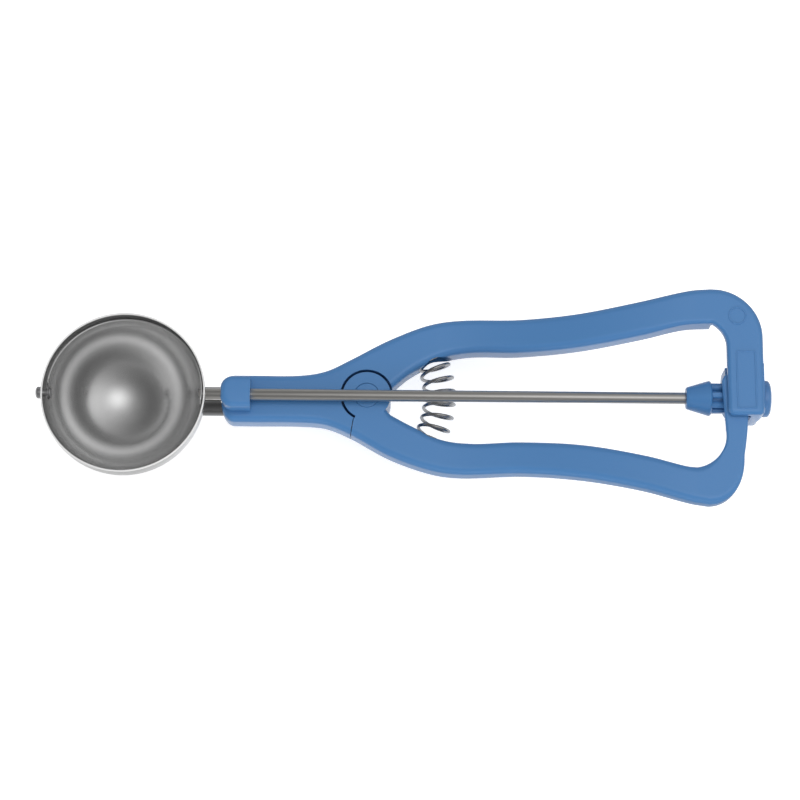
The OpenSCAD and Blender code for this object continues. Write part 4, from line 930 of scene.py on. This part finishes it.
def pale_floor():
    """White matt floor, lifted where the camera sees it so that it meets the background.
    In reflections it turns grey away from the object's long axis."""
    material = bpy.data.materials.new("pale_floor")
    material.use_nodes = True
    tree = material.node_tree
    surface = tree.nodes["Principled BSDF"]
    path = add(tree, "ShaderNodeLightPath").outputs
    spot = add(tree, "ShaderNodeTexCoord").outputs["Object"]
    axes = add(tree, "ShaderNodeSeparateXYZ", {"Vector": spot}).outputs
    aside = calc(tree, "ABSOLUTE", axes["Y"])
    grey = ramp(tree, aside, 0.88, 0.33, *FADE)
    tree.links.new(ramp(tree, path["Is Glossy Ray"], 0.9, grey), surface.inputs["Base Color"])
    surface.inputs["Roughness"].default_value = 0.95
    surface.inputs["Specular IOR Level"].default_value = 0.0
    mirrored = calc(tree, "MULTIPLY", ramp(tree, aside, 0.3, 0.0, *FADE), path["Is Glossy Ray"])
    lift = ramp(tree, path["Is Camera Ray"], mirrored, 0.6)
    surface.inputs["Emission Color"].default_value = (1, 1, 1, 1)
    tree.links.new(lift, surface.inputs["Emission Strength"])
    return material


def floor():
    """Round floor under the bowl's lowest point."""
    r, a = rings_of(0.001, 3.0, 12, 48)
    points = join(r * np.cos(a), r * np.sin(a), -0.0003)
    obj = round_sheet("floor", points, pale_floor())
    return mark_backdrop(obj)


def ceiling():
    """Dome over the table that only reflections see: a dim room with soft lamp windows.
    Its glow is worked out for each direction: a share that grows towards the horizon and
    one bell curve for each window, over the slopes x / z and y / z."""
    polar, turn = rings_of(np.radians(0.5), np.radians(DOME_END), 80, 128)
    way = join(np.sin(polar) * np.cos(turn), np.sin(polar) * np.sin(turn), np.cos(polar))
    glow = DOME_TOP + (DOME_LOW - DOME_TOP) * ease((np.degrees(polar) - 30) / 50)
    for x, y, wide, deep, power in WINDOWS:
        off = ((way[..., 0] / way[..., 2] - x) / wide) ** 2 + ((way[..., 1] / way[..., 2] - y) / deep) ** 2
        glow = glow + power * np.exp(-off)
    material = bpy.data.materials.new("ceiling_glow")
    tree = new_tree(material)
    value = add(tree, "ShaderNodeAttribute", attribute_name="glow")
    light = add(tree, "ShaderNodeEmission", {"Strength": value.outputs["Fac"]})
    out = add(tree, "ShaderNodeOutputMaterial")
    tree.links.new(light.outputs[0], out.inputs["Surface"])
    obj = round_sheet("ceiling", way * 2.4, material)
    glows = obj.data.attributes.new("glow", "FLOAT", "POINT")
    glows.data.foreach_set("value", glow.ravel().astype(np.float32))
    obj.visible_camera = obj.visible_diffuse = obj.visible_shadow = obj.visible_transmission = False
    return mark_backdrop(obj)


floor()
ceiling()

world = bpy.data.worlds.new("studio")
bpy.context.scene.world = world
tree = new_tree(world)
path = add(tree, "ShaderNodeLightPath").outputs
seen = calc(tree, "MAXIMUM", path["Is Camera Ray"], path["Is Glossy Ray"])
seen = calc(tree, "MAXIMUM", seen, path["Is Transmission Ray"])
sky = add(tree, "ShaderNodeBackground", {"Color": (1, 1, 1, 1), "Strength": ramp(tree, seen, 0.55, 1.0)})
out = add(tree, "ShaderNodeOutputWorld")
tree.links.new(sky.outputs[0], out.inputs["Surface"])


def softbox(name, spot, aim, size, power):
    """Square area lamp at a spot, turned to face a point, both in metres."""
    lamp = bpy.data.lights.new(name, "AREA")
    lamp.shape, lamp.size, lamp.energy = "SQUARE", size, power
    obj = link(bpy.data.objects.new(name, lamp))
    obj.location = spot
    obj.rotation_euler = (Vector(aim) - Vector(spot)).to_track_quat("-Z", "Y").to_euler()
    obj.visible_glossy = False


softbox("top_box", (0.3, 0.2, 1.5), (0, 0, 0), 1.2, 9.4)
softbox("front_box", (0.0, -1.3, 0.25), (0, 0, 0.02), 1.0, 8.5)

# Camera: aims at a point beside the rod's axis, 75 degrees above the floor
AIM, LENS, SENSOR, FAR_END = (94.4, -1.48, 0.0), 105.57, 36.0, 20.0
elevation, roll, distance = np.radians(75.0), np.radians(0.504), 0.8
back = np.array([0, -np.cos(elevation), np.sin(elevation)])
right = np.array([1.0, 0, 0])
up = np.cross(back, right)
right, up = right * np.cos(roll) + up * np.sin(roll), up * np.cos(roll) - right * np.sin(roll)
spot = place(AIM) + distance * back
camera = link(bpy.data.objects.new("camera", bpy.data.cameras.new("camera")))
camera.data.lens, camera.data.sensor_width, camera.data.clip_end = LENS, SENSOR, FAR_END
pose = Matrix.Identity(4)
for column, axis in enumerate((right, up, back, spot)):
    for row in range(3):
        pose[row][column] = axis[row]
camera.matrix_world = pose
bpy.context.scene.camera = camera
